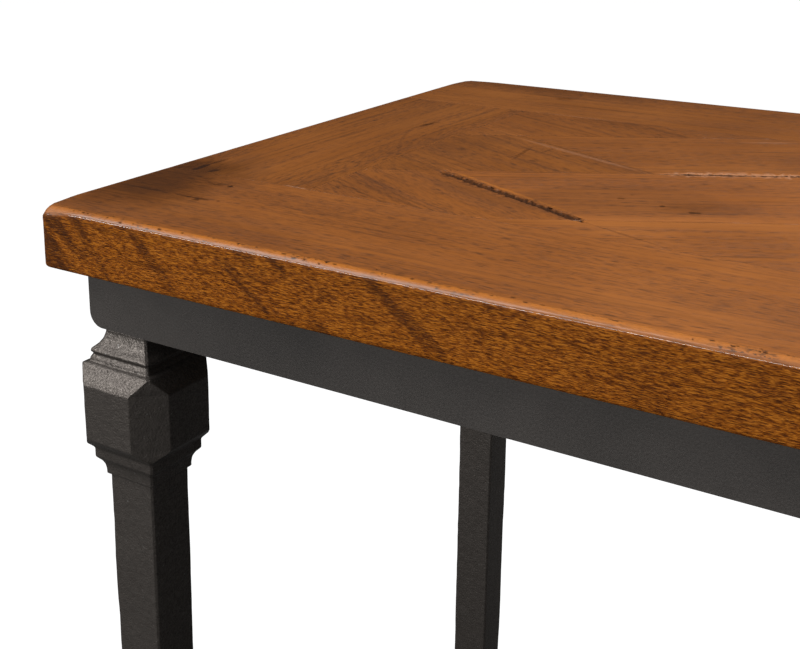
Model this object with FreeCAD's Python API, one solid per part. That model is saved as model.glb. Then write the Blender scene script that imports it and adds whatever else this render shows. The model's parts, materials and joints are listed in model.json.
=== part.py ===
"""Long side table: framed herringbone top on a steel apron and four cast-iron legs.

Millimetres. +Z is up, the front faces -Y, and the origin is on the floor under the
middle of the top.
"""

import FreeCAD
import Part
import math
import os

Vector = FreeCAD.Vector

# ---- overall sizes ----
top_length = 1400.0
top_depth = 620.0
table_height = 762.0
top_thick = 44.0

# ---- board frame of the top ----
front_rail_width = 135.4
back_rail_width = 131.7
end_board_width = 131.5
edge_round = 5.0             # eased arris along the outer top edges
under_round = 2.0            # eased arris along the outer lower edges
corner_round = 9.0           # upright outer corners of the top

# ---- panel inside the frame ----
inlay_thick = 16.0
core_thick = 18.0
core_tongue = 12.0           # how far the core enters its groove
groove_spare = 0.5           # glue room at the bottom of the groove
rise_slope = 0.56            # boards that run away from the front, towards the middle
rise_pitch = 150.0           # front-to-back step from one of their joints to the next
fall_slope = 0.49            # boards that run towards the front
fall_pitch = 142.5
seam_from_end = 185.0        # first herringbone point, from the end of the top
seam_from_front = 240.0      # the same point, from the front of the top
pattern_depth = 352.9        # panel depth these are laid out for; they stretch with the panel
batten_width = 60.0
batten_offset = 260.0        # battens and cross rails, each side of the middle

# ---- dowels that join the end boards to the rails ----
dowel_diameter = 12.0
dowel_length = 60.0
dowel_edge = 28.0            # outer dowels, from the sides of the end board
dowels_per_joint = 3

# ---- steel apron ----
apron_inset_x = 24.0         # outer faces of the apron, in from the ends of the top
apron_inset_y = 21.3         # and in from the front and back
apron_height = 45.6
apron_thick = 6.0
apron_corner = 11.0          # rounded lower corner of each band
flange_width = 30.0
flange_thick = 5.0
flange_gap = 4.0             # between the ends of neighbouring flanges
cross_width = 40.0
cross_height = 25.0
cross_wall = 2.5

# ---- legs ----
leg_inset_x = 55.6           # leg axis from the end of the top
leg_inset_y = 41.0           # leg axis from the front or back of the top
leg_block_width = 81.2
leg_block_chamfer = 19.7
leg_shaft_width = 40.2
leg_ankle_width = 38.3       # the shaft narrows to this above the foot
leg_neck_width = 38.0
leg_fillet_width = 54.4
leg_fillet_height = 2.5
leg_groove_width = 53.2
leg_step_width = 55.4
leg_ledge_width = 48.5
leg_collar_width = 44.6
leg_neck_drop = 2.0          # each drop is measured down from the underside of the apron
leg_fillet_drop = 14.2
leg_groove_drop = 19.0
leg_bevel_drop = 23.2
leg_block_drop = 35.0
leg_block_end_drop = 77.0
leg_lower_bevel_drop = 86.0
leg_step_top_drop = 89.2
leg_step_drop = 96.5
leg_ledge_drop = 100.0
leg_collar_drop = 107.4
leg_shaft_drop = 110.6
cove_shallow = 0.65          # where the middle of a hollow lies across its width
cove_steep = 0.4             # and along its height
leg_foot_width = 54.0
leg_foot_height = 46.0
leg_foot_cove = 20.0
leg_foot_bevel = 8.0
leg_foot_ease = 3.0
glide_height = 5.0
glide_diameter = 40.0
glide_stem_diameter = 8.0
glide_stem_length = 17.0
glide_hole_deeper = 1.0
glide_round = 1.5            # eased rim of the pad

# ---- leg plates and their fasteners ----
plate_side = 100.0
plate_thick = 8.0
plate_corner_cut = 22.0
bolt_diameter = 12.0
bolt_grip = 32.0             # thread below the leg plate
bolt_hole_spare = 0.5
bolt_hole_deeper = 4.0       # tapped hole in the leg, past the end of the bolt
bolt_crown = 0.5             # eased corners on top of the head
bolt_head_across = 19.0
bolt_head_height = 7.5
washer_diameter = 24.0
washer_thick = 2.5
pin_diameter = 8.0
pin_length = 20.0
pin_offset = 16.0            # pin towards the middle of the table, from the bolt

# ---- wood screws ----
screw_diameter = 5.0
screw_inlay_gap = 2.0        # wood left between the points of the screws and the inlay
screw_hole_spare = 0.4
screw_head_diameter = 10.0
screw_head_height = 3.0
screw_head_round = 2.1
screw_tip_diameter = 0.8
screw_tip_gap = 1.0          # from the point of the screw to the end of its bore
screw_washer_diameter = 14.0
screw_washer_thick = 1.2
driver_spare = 2.0           # wider hole under each screw, for the washer and driver
screws_front = 6
screws_side = 3
screw_end_gap = 150.0        # first and last screw, from the ends of a flange

# ---- places worked out from the sizes ----
half_length = top_length / 2.0
half_depth = top_depth / 2.0
screw_bite = top_thick - inlay_thick - screw_inlay_gap
panel_stretch = (top_depth - front_rail_width - back_rail_width) / pattern_depth
rise_run = rise_slope * panel_stretch
fall_run = fall_slope * panel_stretch
rise_step = rise_pitch * panel_stretch
fall_step = fall_pitch * panel_stretch
seam_front = front_rail_width + (seam_from_front - front_rail_width) * panel_stretch
top_under = table_height - top_thick
apron_bottom = top_under - apron_height
panel_x = half_length - end_board_width
panel_front = -half_depth + front_rail_width
panel_back = half_depth - back_rail_width
core_bottom = table_height - inlay_thick - core_thick
core_top = table_height - inlay_thick
apron_x = half_length - apron_inset_x
apron_y = half_depth - apron_inset_y
inner_x = apron_x - apron_thick
inner_y = apron_y - apron_thick
leg_x = half_length - leg_inset_x
leg_y = half_depth - leg_inset_y
plate_top = apron_bottom + plate_thick
corner_signs = {"front_left": (-1, -1), "front_right": (1, -1), "back_left": (-1, 1), "back_right": (1, 1)}


def box(x0, x1, y0, y1, z0, z1):
    """Box between two opposite corners."""
    return Part.makeBox(x1 - x0, y1 - y0, z1 - z0, Vector(x0, y0, z0))


def rod(diameter, length, x, y, z, direction=Vector(0, 0, 1)):
    """Round bar that starts at a point and runs along a direction."""
    return Part.makeCylinder(diameter / 2.0, length, Vector(x, y, z), direction)


def prism(points, height):
    """Flat outline in one plane, raised by a vector."""
    loop = points + [points[0]]
    return Part.Face(Part.makePolygon(loop)).extrude(height)


def between(start, end, share):
    """Number part of the way from start to end."""
    return start + share * (end - start)


def mirror_x(shape):
    """The same shape on the other side of the middle, left to right."""
    return shape.mirror(Vector(0, 0, 0), Vector(1, 0, 0))


def export(name, shape):
    """Write one named piece, or one group of loose pieces."""
    clean = shape.removeSplitter()
    if not clean.isValid() or not clean.Solids:
        raise ValueError(name + " is not a sound solid")
    clean.exportStep(os.path.join("parts", name + ".step"))
    print(name, len(clean.Solids), round(clean.Volume / 1000.0, 1), "cm3")


# ---- wooden top ----

def eased_slab():
    """Whole outline of the top with its worn-soft outer edges, before it is cut into boards."""
    slab = box(-half_length, half_length, -half_depth, half_depth, top_under, table_height)
    upright = [edge for edge in slab.Edges if abs(edge.tangentAt(edge.FirstParameter).z) > 0.9]
    slab = slab.makeFillet(corner_round, upright)
    upper = [edge for edge in slab.Edges if edge.BoundBox.ZMin > table_height - 0.01]
    slab = slab.makeFillet(edge_round, upper)
    lower = [edge for edge in slab.Edges if edge.BoundBox.ZMax < top_under + 0.01]
    return slab.makeFillet(under_round, lower)


def core_groove():
    """Space that the core's tongue takes in the rails and end boards."""
    reach = core_tongue + groove_spare
    return box(-panel_x - reach, panel_x + reach, panel_front - reach, panel_back + reach,
               core_bottom, core_top)


def frame_dowels():
    """Dowels across the four joints between end boards and rails."""
    dowels = []
    span = end_board_width - 2.0 * dowel_edge
    height = top_under + top_thick / 2.0
    for side in (-1, 1):
        for joint_y in (panel_front, panel_back):
            for index in range(dowels_per_joint):
                from_end = dowel_edge + span * index / (dowels_per_joint - 1)
                x = side * (half_length - from_end)
                dowels.append(rod(dowel_diameter, dowel_length, x, joint_y - dowel_length / 2.0,
                                  height, Vector(0, 1, 0)))
    return Part.makeCompound(dowels)


def screw_places():
    """Place of each flange screw, with the number of screws set for each side."""
    places = []
    for side in (-1, 1):
        y = side * (inner_y - flange_width / 2.0)
        first = -inner_x + screw_end_gap
        step = 2.0 * (inner_x - screw_end_gap) / (screws_front - 1)
        places += [(first + step * index, y) for index in range(screws_front)]
        x = side * (inner_x - flange_width / 2.0)
        first = -inner_y + screw_end_gap
        step = 2.0 * (inner_y - screw_end_gap) / (screws_side - 1)
        places += [(x, first + step * index) for index in range(screws_side)]
    return places


def batten_screw_places():
    """Place of each screw that holds a cross rail up to its batten."""
    reach = (panel_back - panel_front) / 2.0 - batten_width
    middle = (panel_front + panel_back) / 2.0
    return [(side * batten_offset, middle + offset * reach) for side in (-1, 1) for offset in (-1, 0, 1)]


def screw_bores(places, bottom, length):
    """Pilot bores, one over each screw."""
    return Part.makeCompound([rod(screw_diameter, length, x, y, bottom) for x, y in places])


def make_frame_boards():
    """Rails and end boards, grooved for the core and bored for dowels and screws."""
    slab = eased_slab()
    groove = core_groove()
    dowels = frame_dowels()
    bores = screw_bores(screw_places(), top_under, screw_bite)
    regions = {
        "top_front_rail": (-half_length, half_length, -half_depth, panel_front),
        "top_back_rail": (-half_length, half_length, panel_back, half_depth),
        "top_left_end_board": (-half_length, -panel_x, panel_front, panel_back),
        "top_right_end_board": (panel_x, half_length, panel_front, panel_back),
    }
    for name, (x0, x1, y0, y1) in regions.items():
        board = slab.common(box(x0, x1, y0, y1, top_under, table_height))
        export(name, board.cut(groove).cut(dowels).cut(bores))
    export("frame_dowels", dowels)


def make_core():
    """Plywood core that carries the inlay, and the battens under it."""
    core = box(-panel_x - core_tongue, panel_x + core_tongue, panel_front - core_tongue,
               panel_back + core_tongue, core_bottom, core_top)
    bores = screw_bores(batten_screw_places(), top_under, screw_bite)
    export("top_core_panel", core.cut(bores))
    for name, side in (("batten_left", -1), ("batten_right", 1)):
        x = side * batten_offset
        batten = box(x - batten_width / 2.0, x + batten_width / 2.0, panel_front, panel_back,
                     top_under, core_bottom)
        export(name, batten.cut(bores))


def crossing(rise, fall):
    """Where two joint lines cross, each named by its distance from the front at the end of the top."""
    x = (fall - rise) / (rise_run + fall_run)
    return Vector(-half_length + x, -half_depth + rise + rise_run * x, core_top)


def slanting_board(rise_low, rise_high, fall_low, fall_high):
    """Left-hand board between two rising and two falling joint lines, trimmed to its half panel."""
    corners = [crossing(rise_low, fall_low), crossing(rise_low, fall_high),
               crossing(rise_high, fall_high), crossing(rise_high, fall_low)]
    half_panel = box(-panel_x, 0.0, panel_front, panel_back, core_top, table_height)
    return prism(corners, Vector(0, 0, inlay_thick)).common(half_panel)


def make_inlay():
    """Herringbone boards: each name gives its row and whether it falls or rises to the right."""
    rise = seam_front - rise_run * seam_from_end
    fall = seam_front + fall_run * seam_from_end
    rise_back = rise + rise_step
    rise_front = rise - rise_step
    fall_back = fall + fall_step
    fall_corner = fall_back + fall_step
    far = top_length + top_depth
    rows = {
        "wedge_front": (rise, rise_back, fall - far, fall),
        "wedge_back": (rise_back, rise_back + rise_step, fall - far, fall_back),
        "short_front": (rise_front, rise, fall - far, fall),
        "short_middle": (rise, rise_back, fall, fall_back),
        "short_back": (rise_back, rise + far, fall_back, fall_corner),
        "long_corner": (rise_back, rise + far, fall_corner, fall + far),
        "long_back": (rise, rise_back, fall_back, fall + far),
        "long_middle": (rise_front, rise, fall, fall + far),
        "long_front": (rise_front - rise_step, rise_front, fall - fall_step, fall + far),
        "long_tip": (rise_front - far, rise_front - rise_step, fall - fall_step, fall + far),
    }
    for name, lines in rows.items():
        board = slanting_board(*lines)
        export("inlay_left_" + name, board)
        export("inlay_right_" + name, mirror_x(board))


# ---- steel apron ----

def band(length):
    """Flat band that stands along X with its lower corners rounded, centred on X, outer face at y = 0."""
    half = length / 2.0
    radius = apron_corner
    bend = radius * math.sin(math.radians(45.0))
    z0 = apron_bottom
    z1 = top_under
    low_left = Vector(-half + radius - bend, 0, z0 + radius - bend)
    low_right = Vector(half - radius + bend, 0, z0 + radius - bend)
    edges = [
        Part.LineSegment(Vector(-half, 0, z1), Vector(-half, 0, z0 + radius)),
        Part.Arc(Vector(-half, 0, z0 + radius), low_left, Vector(-half + radius, 0, z0)),
        Part.LineSegment(Vector(-half + radius, 0, z0), Vector(half - radius, 0, z0)),
        Part.Arc(Vector(half - radius, 0, z0), low_right, Vector(half, 0, z0 + radius)),
        Part.LineSegment(Vector(half, 0, z0 + radius), Vector(half, 0, z1)),
        Part.LineSegment(Vector(half, 0, z1), Vector(-half, 0, z1)),
    ]
    outline = Part.Wire([edge.toShape() for edge in edges])
    return Part.Face(outline).extrude(Vector(0, apron_thick, 0))


def make_apron():
    """Four bands, welded at the corners with the end bands between the long ones."""
    front = band(2.0 * apron_x)
    front.translate(Vector(0, -apron_y, 0))
    export("apron_front", front)
    export("apron_back", front.mirror(Vector(0, 0, 0), Vector(0, 1, 0)))
    left = band(2.0 * inner_y)
    left.rotate(Vector(0, 0, 0), Vector(0, 0, 1), -90.0)
    left.translate(Vector(-apron_x, 0, 0))
    export("apron_left", left)
    export("apron_right", mirror_x(left))


def make_flanges():
    """Strips welded inside the top of the bands, drilled for the screws that hold the top."""
    z0 = top_under - flange_thick
    side_end = inner_y - flange_width - flange_gap
    hole = screw_diameter + 2.0 * screw_hole_spare
    bores = Part.makeCompound([rod(hole, flange_thick, x, y, z0) for x, y in screw_places()])
    front = box(-inner_x, inner_x, -inner_y, -inner_y + flange_width, z0, top_under)
    left = box(-inner_x, -inner_x + flange_width, -side_end, side_end, z0, top_under)
    export("flange_front", front.cut(bores))
    export("flange_back", front.mirror(Vector(0, 0, 0), Vector(0, 1, 0)).cut(bores))
    export("flange_left", left.cut(bores))
    export("flange_right", mirror_x(left).cut(bores))


def make_cross_rails():
    """Square tubes from front flange to back flange, screwed up to the battens."""
    end = inner_y
    z1 = top_under
    z0 = z1 - cross_height
    hole = screw_diameter + 2.0 * screw_hole_spare
    bores = [rod(hole, cross_wall, x, y, z1 - cross_wall) for x, y in batten_screw_places()]
    driver_hole = screw_washer_diameter + driver_spare
    bores += [rod(driver_hole, cross_wall, x, y, z0) for x, y in batten_screw_places()]
    notch = flange_width
    for name, side in (("cross_rail_left", -1), ("cross_rail_right", 1)):
        x = side * batten_offset
        outer = box(x - cross_width / 2.0, x + cross_width / 2.0, -end, end, z0, z1)
        hollow = box(x - cross_width / 2.0 + cross_wall, x + cross_width / 2.0 - cross_wall, -end, end,
                     z0 + cross_wall, z1 - cross_wall)
        tube = outer.cut(hollow)
        for y0, y1 in ((-end, -end + notch), (end - notch, end)):
            tube = tube.cut(box(x - cross_width, x + cross_width, y0, y1, z1 - flange_thick, z1))
        export(name, tube.cut(Part.makeCompound(bores)))


# ---- legs ----

def leg_outline():
    """Right half of the leg's outline as (half width, height) runs, from the top down.

    An entry with three points is an arc through them; one with two is a straight run.
    """
    top = apron_bottom
    neck = leg_neck_width / 2.0
    fillet = leg_fillet_width / 2.0
    groove = leg_groove_width / 2.0
    block = leg_block_width / 2.0
    point = block - leg_block_chamfer / 2.0
    step = leg_step_width / 2.0
    ledge = leg_ledge_width / 2.0
    collar = leg_collar_width / 2.0
    shaft = leg_shaft_width / 2.0
    ankle = leg_ankle_width / 2.0
    foot = leg_foot_width / 2.0
    shoulder = foot - leg_foot_ease
    bottom = glide_height
    foot_top = bottom + leg_foot_height
    cove_top = foot_top + leg_foot_cove
    cove_middle = (between(neck, fillet, 1.0 - cove_shallow), top - cove_shallow * leg_fillet_drop)
    fillet_end = leg_fillet_drop + leg_fillet_height
    ledge_middle_drop = between(leg_ledge_drop, leg_collar_drop, cove_steep)
    ledge_middle = (between(ledge, collar, cove_shallow), top - ledge_middle_drop)
    foot_middle = (between(ankle, shoulder, 1.0 - cove_shallow), foot_top + cove_steep * leg_foot_cove)
    return [
        ((neck, top), (neck, top - leg_neck_drop)),
        ((neck, top - leg_neck_drop), cove_middle, (fillet, top - leg_fillet_drop)),
        ((fillet, top - leg_fillet_drop), (fillet, top - fillet_end)),
        ((fillet, top - fillet_end), (groove, top - leg_groove_drop)),
        ((groove, top - leg_groove_drop), (point, top - leg_bevel_drop)),
        ((point, top - leg_bevel_drop), (block, top - leg_block_drop)),
        ((block, top - leg_block_drop), (block, top - leg_block_end_drop)),
        ((block, top - leg_block_end_drop), (point, top - leg_lower_bevel_drop)),
        ((point, top - leg_lower_bevel_drop), (step, top - leg_step_top_drop)),
        ((step, top - leg_step_top_drop), (step, top - leg_step_drop)),
        ((step, top - leg_step_drop), (ledge, top - leg_ledge_drop)),
        ((ledge, top - leg_ledge_drop), ledge_middle, (collar, top - leg_collar_drop)),
        ((collar, top - leg_collar_drop), (collar, top - leg_shaft_drop)),
        ((collar, top - leg_shaft_drop), (shaft, top - leg_shaft_drop)),
        ((shaft, top - leg_shaft_drop), (ankle, cove_top)),
        ((ankle, cove_top), foot_middle, (shoulder, foot_top)),
        ((shoulder, foot_top), (foot, foot_top - leg_foot_bevel)),
        ((foot, foot_top - leg_foot_bevel), (foot, bottom + leg_foot_ease)),
        ((foot, bottom + leg_foot_ease), (shoulder, bottom)),
    ]


def square_moulding(levels, axis):
    """Outline mirrored about the leg's axis and drawn out along X or Y."""
    reach = leg_block_width

    def place(side, point):
        width, height = point
        if axis == "x":
            return Vector(-reach, side * width, height)
        return Vector(side * width, -reach, height)

    edges = []
    for side in (1, -1):
        for run in levels:
            points = [place(side, point) for point in run]
            curve = Part.Arc(*points) if len(points) == 3 else Part.LineSegment(*points)
            edges.append(curve.toShape())
    for run, index in ((levels[0], 0), (levels[-1], -1)):
        edges.append(Part.LineSegment(place(1, run[index]), place(-1, run[index])).toShape())
    face = Part.Face(Part.Wire(Part.__sortEdges__(edges)))
    along = Vector(2.0 * reach, 0, 0) if axis == "x" else Vector(0, 2.0 * reach, 0)
    return face.extrude(along)


def leg_casting():
    """Left-hand leg on the origin's axis: a square moulding with the block's corners cut back."""
    levels = leg_outline()
    body = square_moulding(levels, "x").common(square_moulding(levels, "y"))
    block = leg_block_width / 2.0
    flat = block - leg_block_chamfer
    low = apron_bottom - leg_lower_bevel_drop
    high = apron_bottom - leg_bevel_drop
    octagon = [(block, -flat), (block, flat), (flat, block), (-flat, block),
               (-block, flat), (-block, -flat), (-flat, -block), (flat, -block)]
    cut_back = prism([Vector(x, y, low) for x, y in octagon], Vector(0, 0, high - low))
    spare = leg_block_width
    below = box(-spare, spare, -spare, spare, 0.0, low)
    above = box(-spare, spare, -spare, spare, high, apron_bottom + spare)
    body = body.common(cut_back.fuse(below).fuse(above))
    bolt_hole = bolt_grip + bolt_hole_deeper
    body = body.cut(rod(bolt_diameter, bolt_hole, 0, 0, apron_bottom - bolt_hole))
    in_leg = pin_length - plate_thick
    body = body.cut(rod(pin_diameter, in_leg, pin_offset, 0, apron_bottom - in_leg))
    return body.cut(rod(glide_stem_diameter, glide_stem_length + glide_hole_deeper, 0, 0, glide_height))


def make_legs():
    """Four castings, with the pin hole of each towards the middle of the table."""
    casting = leg_casting()
    for name, (sx, sy) in corner_signs.items():
        leg = casting.copy() if sx < 0 else mirror_x(casting)
        leg.translate(Vector(sx * leg_x, sy * leg_y, 0))
        export("leg_" + name, leg)


def make_leg_plates():
    """Plates welded into the corners of the apron, one above each leg."""
    corner = plate_corner_cut
    for name, (sx, sy) in corner_signs.items():
        outer_x = sx * inner_x
        outer_y = sy * inner_y
        inside_x = outer_x - sx * plate_side
        inside_y = outer_y - sy * plate_side
        outline = [(outer_x, inside_y), (outer_x, outer_y - sy * corner), (outer_x - sx * corner, outer_y),
                   (inside_x, outer_y), (inside_x, inside_y)]
        plate = prism([Vector(x, y, apron_bottom) for x, y in outline], Vector(0, 0, plate_thick))
        x = sx * leg_x
        y = sy * leg_y
        plate = plate.cut(rod(bolt_diameter + 2.0 * bolt_hole_spare, plate_thick, x, y, apron_bottom))
        plate = plate.cut(rod(pin_diameter, plate_thick, x - sx * pin_offset, y, apron_bottom))
        export("leg_plate_" + name, plate)


def at_legs(shape):
    """A group of loose copies, one at each leg's axis."""
    copies = []
    for sx, sy in corner_signs.values():
        copy = shape.copy()
        copy.translate(Vector(sx * leg_x, sy * leg_y, 0))
        copies.append(copy)
    return Part.makeCompound(copies)


def hexagon_bolt():
    """Bolt that hangs a leg from its plate, head up."""
    seat = plate_top + washer_thick
    radius = bolt_head_across / math.sqrt(3.0)
    turns = [math.radians(60.0 * step) for step in range(6)]
    points = [Vector(radius * math.cos(turn), radius * math.sin(turn), seat) for turn in turns]
    head = prism(points, Vector(0, 0, bolt_head_height))
    crown = Part.makeCone(bolt_head_across / 2.0 + bolt_head_height, bolt_head_across / 2.0 - bolt_crown,
                          bolt_head_height + bolt_crown, Vector(0, 0, seat))
    head = head.common(crown)
    shank = rod(bolt_diameter, seat - apron_bottom + bolt_grip, 0, 0, apron_bottom - bolt_grip)
    return head.fuse(shank)


def make_leg_fasteners():
    """Bolts, washers, locating pins and glides, one set for each leg."""
    export("leg_bolts", at_legs(hexagon_bolt()))
    hole = bolt_diameter + 2.0 * bolt_hole_spare
    ring = rod(washer_diameter, washer_thick, 0, 0, plate_top)
    export("leg_washers", at_legs(ring.cut(rod(hole, washer_thick, 0, 0, plate_top))))
    pins = [rod(pin_diameter, pin_length, sx * (leg_x - pin_offset), sy * leg_y, plate_top - pin_length)
            for sx, sy in corner_signs.values()]
    export("leg_locating_pins", Part.makeCompound(pins))
    pad = rod(glide_diameter, glide_height, 0, 0, 0)
    lower = [edge for edge in pad.Edges if edge.BoundBox.ZMax < 0.01]
    pad = pad.makeFillet(glide_round, lower)
    stem = rod(glide_stem_diameter, glide_stem_length, 0, 0, glide_height)
    export("foot_glides", at_legs(pad.fuse(stem)))


def wood_screw(x, y, seat):
    """Round-headed screw under a washer's lower face at height seat, point up."""
    head = rod(screw_head_diameter, screw_head_height, x, y, seat - screw_head_height)
    rim = [edge for edge in head.Edges if edge.BoundBox.ZMax < seat - screw_head_height + 0.01]
    head = head.makeFillet(screw_head_round, rim)
    taper = screw_diameter - screw_tip_gap
    taper_start = top_under + screw_bite - screw_diameter
    shank = rod(screw_diameter, taper_start - seat, x, y, seat)
    tip = Part.makeCone(screw_diameter / 2.0, screw_tip_diameter / 2.0, taper, Vector(x, y, taper_start))
    return head.fuse(shank).fuse(tip)


def screw_washer(x, y, seat):
    """Flat washer with its upper face at height seat."""
    z0 = seat - screw_washer_thick
    hole = screw_diameter + 2.0 * screw_hole_spare
    ring = rod(screw_washer_diameter, screw_washer_thick, x, y, z0)
    return ring.cut(rod(hole, screw_washer_thick, x, y, z0))


def make_screws():
    """Screws and washers of the flanges, and those inside the cross rails."""
    groups = (("flange", screw_places(), top_under - flange_thick),
              ("cross_rail", batten_screw_places(), top_under - cross_wall))
    for name, places, seat in groups:
        washers = [screw_washer(x, y, seat) for x, y in places]
        screws = [wood_screw(x, y, seat - screw_washer_thick) for x, y in places]
        export(name + "_washers", Part.makeCompound(washers))
        export(name + "_screws", Part.makeCompound(screws))


def build_table():
    """Build every piece of the table."""
    os.makedirs("parts", exist_ok=True)
    make_frame_boards()
    make_core()
    make_inlay()
    make_apron()
    make_flanges()
    make_cross_rails()
    make_legs()
    make_leg_plates()
    make_leg_fasteners()
    make_screws()


build_table()
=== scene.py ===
"""Looks of the framed herringbone side table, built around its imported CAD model.

Metres, in the CAD's own frame: +Z is up, the front faces -Y, the floor is at zero.
"""
import enum
import json
import logging
import math
from dataclasses import dataclass, field

import bpy
import numpy as np
from mathutils import Euler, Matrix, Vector
from mathutils.geometry import convex_hull_2d, delaunay_2d_cdt


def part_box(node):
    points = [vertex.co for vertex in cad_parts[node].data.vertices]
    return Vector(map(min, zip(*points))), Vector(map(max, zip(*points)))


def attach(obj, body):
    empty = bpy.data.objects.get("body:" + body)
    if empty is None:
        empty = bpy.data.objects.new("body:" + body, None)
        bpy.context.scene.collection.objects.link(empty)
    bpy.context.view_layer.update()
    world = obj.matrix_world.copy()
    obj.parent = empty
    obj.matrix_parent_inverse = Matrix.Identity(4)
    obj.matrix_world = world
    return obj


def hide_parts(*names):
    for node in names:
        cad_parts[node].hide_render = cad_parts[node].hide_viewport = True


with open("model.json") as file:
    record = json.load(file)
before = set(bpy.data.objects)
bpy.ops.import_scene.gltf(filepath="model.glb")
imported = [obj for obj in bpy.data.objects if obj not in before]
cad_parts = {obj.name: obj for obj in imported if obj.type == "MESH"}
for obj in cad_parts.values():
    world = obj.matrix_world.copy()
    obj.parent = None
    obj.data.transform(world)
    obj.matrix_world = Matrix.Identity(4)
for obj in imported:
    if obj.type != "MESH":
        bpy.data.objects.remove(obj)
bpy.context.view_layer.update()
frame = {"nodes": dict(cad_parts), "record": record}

MM = 0.001
LOG = logging.getLogger("side_table")

Colour = tuple[float, float, float]


# ---------------------------------------------------------------- small tools

def lattice_noise(points: np.ndarray, cell: float, seed: int) -> np.ndarray:
    """Smooth noise in space.

    Args:
        points: places, one row each.
        cell: size of one lump.
        seed: picks another pattern.

    Returns:
        One value from -1 to 1 for each place.
    """
    scaled = points / cell
    base = np.floor(scaled).astype(np.int64)
    part = scaled - base
    ease = part * part * (3.0 - 2.0 * part)
    total = np.zeros(len(points))
    for corner in range(8):
        step = np.array([corner & 1, corner >> 1 & 1, corner >> 2 & 1])
        key = base + step
        mixed = (key[:, 0] * 73856093) ^ (key[:, 1] * 19349663) ^ (key[:, 2] * 83492791) ^ (seed * 97531)
        mixed = (mixed ^ (mixed >> 13)) * 1274126177
        value = ((mixed ^ (mixed >> 16)) & 0xFFFFF) / float(0xFFFFF) * 2.0 - 1.0
        total += value * np.prod(np.where(step == 1, ease, 1.0 - ease), axis=1)
    return total


def smooth(value: np.ndarray, start: float, end: float) -> np.ndarray:
    """Ease from 0 at start to 1 at end.

    Args:
        value: numbers to ease.
        start: number that gives 0.
        end: number that gives 1.

    Returns:
        Eased numbers.
    """
    part = np.clip((value - start) / (end - start), 0.0, 1.0)
    return part * part * (3.0 - 2.0 * part)


def new_piece(name: str, vertices: np.ndarray, faces: list[tuple[int, ...]],
              body: str = "root") -> bpy.types.Object:
    """Make a mesh piece that rides on a CAD body.

    Args:
        name: piece name.
        vertices: corners in metres.
        faces: corner numbers of each face.
        body: CAD body that it rides on.

    Returns:
        The new object.
    """
    mesh = bpy.data.meshes.new(name)
    mesh.from_pydata([tuple(v) for v in vertices], [], faces)
    mesh.update()
    mesh.polygons.foreach_set("use_smooth", [True] * len(mesh.polygons))
    piece = bpy.data.objects.new(name, mesh)
    bpy.context.scene.collection.objects.link(piece)
    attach(piece, body)
    return piece


def store(piece: bpy.types.Object, layers: dict[str, np.ndarray]) -> None:
    """Keep one number per corner under each name.

    Args:
        piece: mesh piece.
        layers: numbers by layer name.
    """
    for name, values in layers.items():
        layer = piece.data.attributes.new(name, "FLOAT", "POINT")
        layer.data.foreach_set("value", np.asarray(values, dtype=np.float32))


# ---------------------------------------------------------------- finishes

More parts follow.
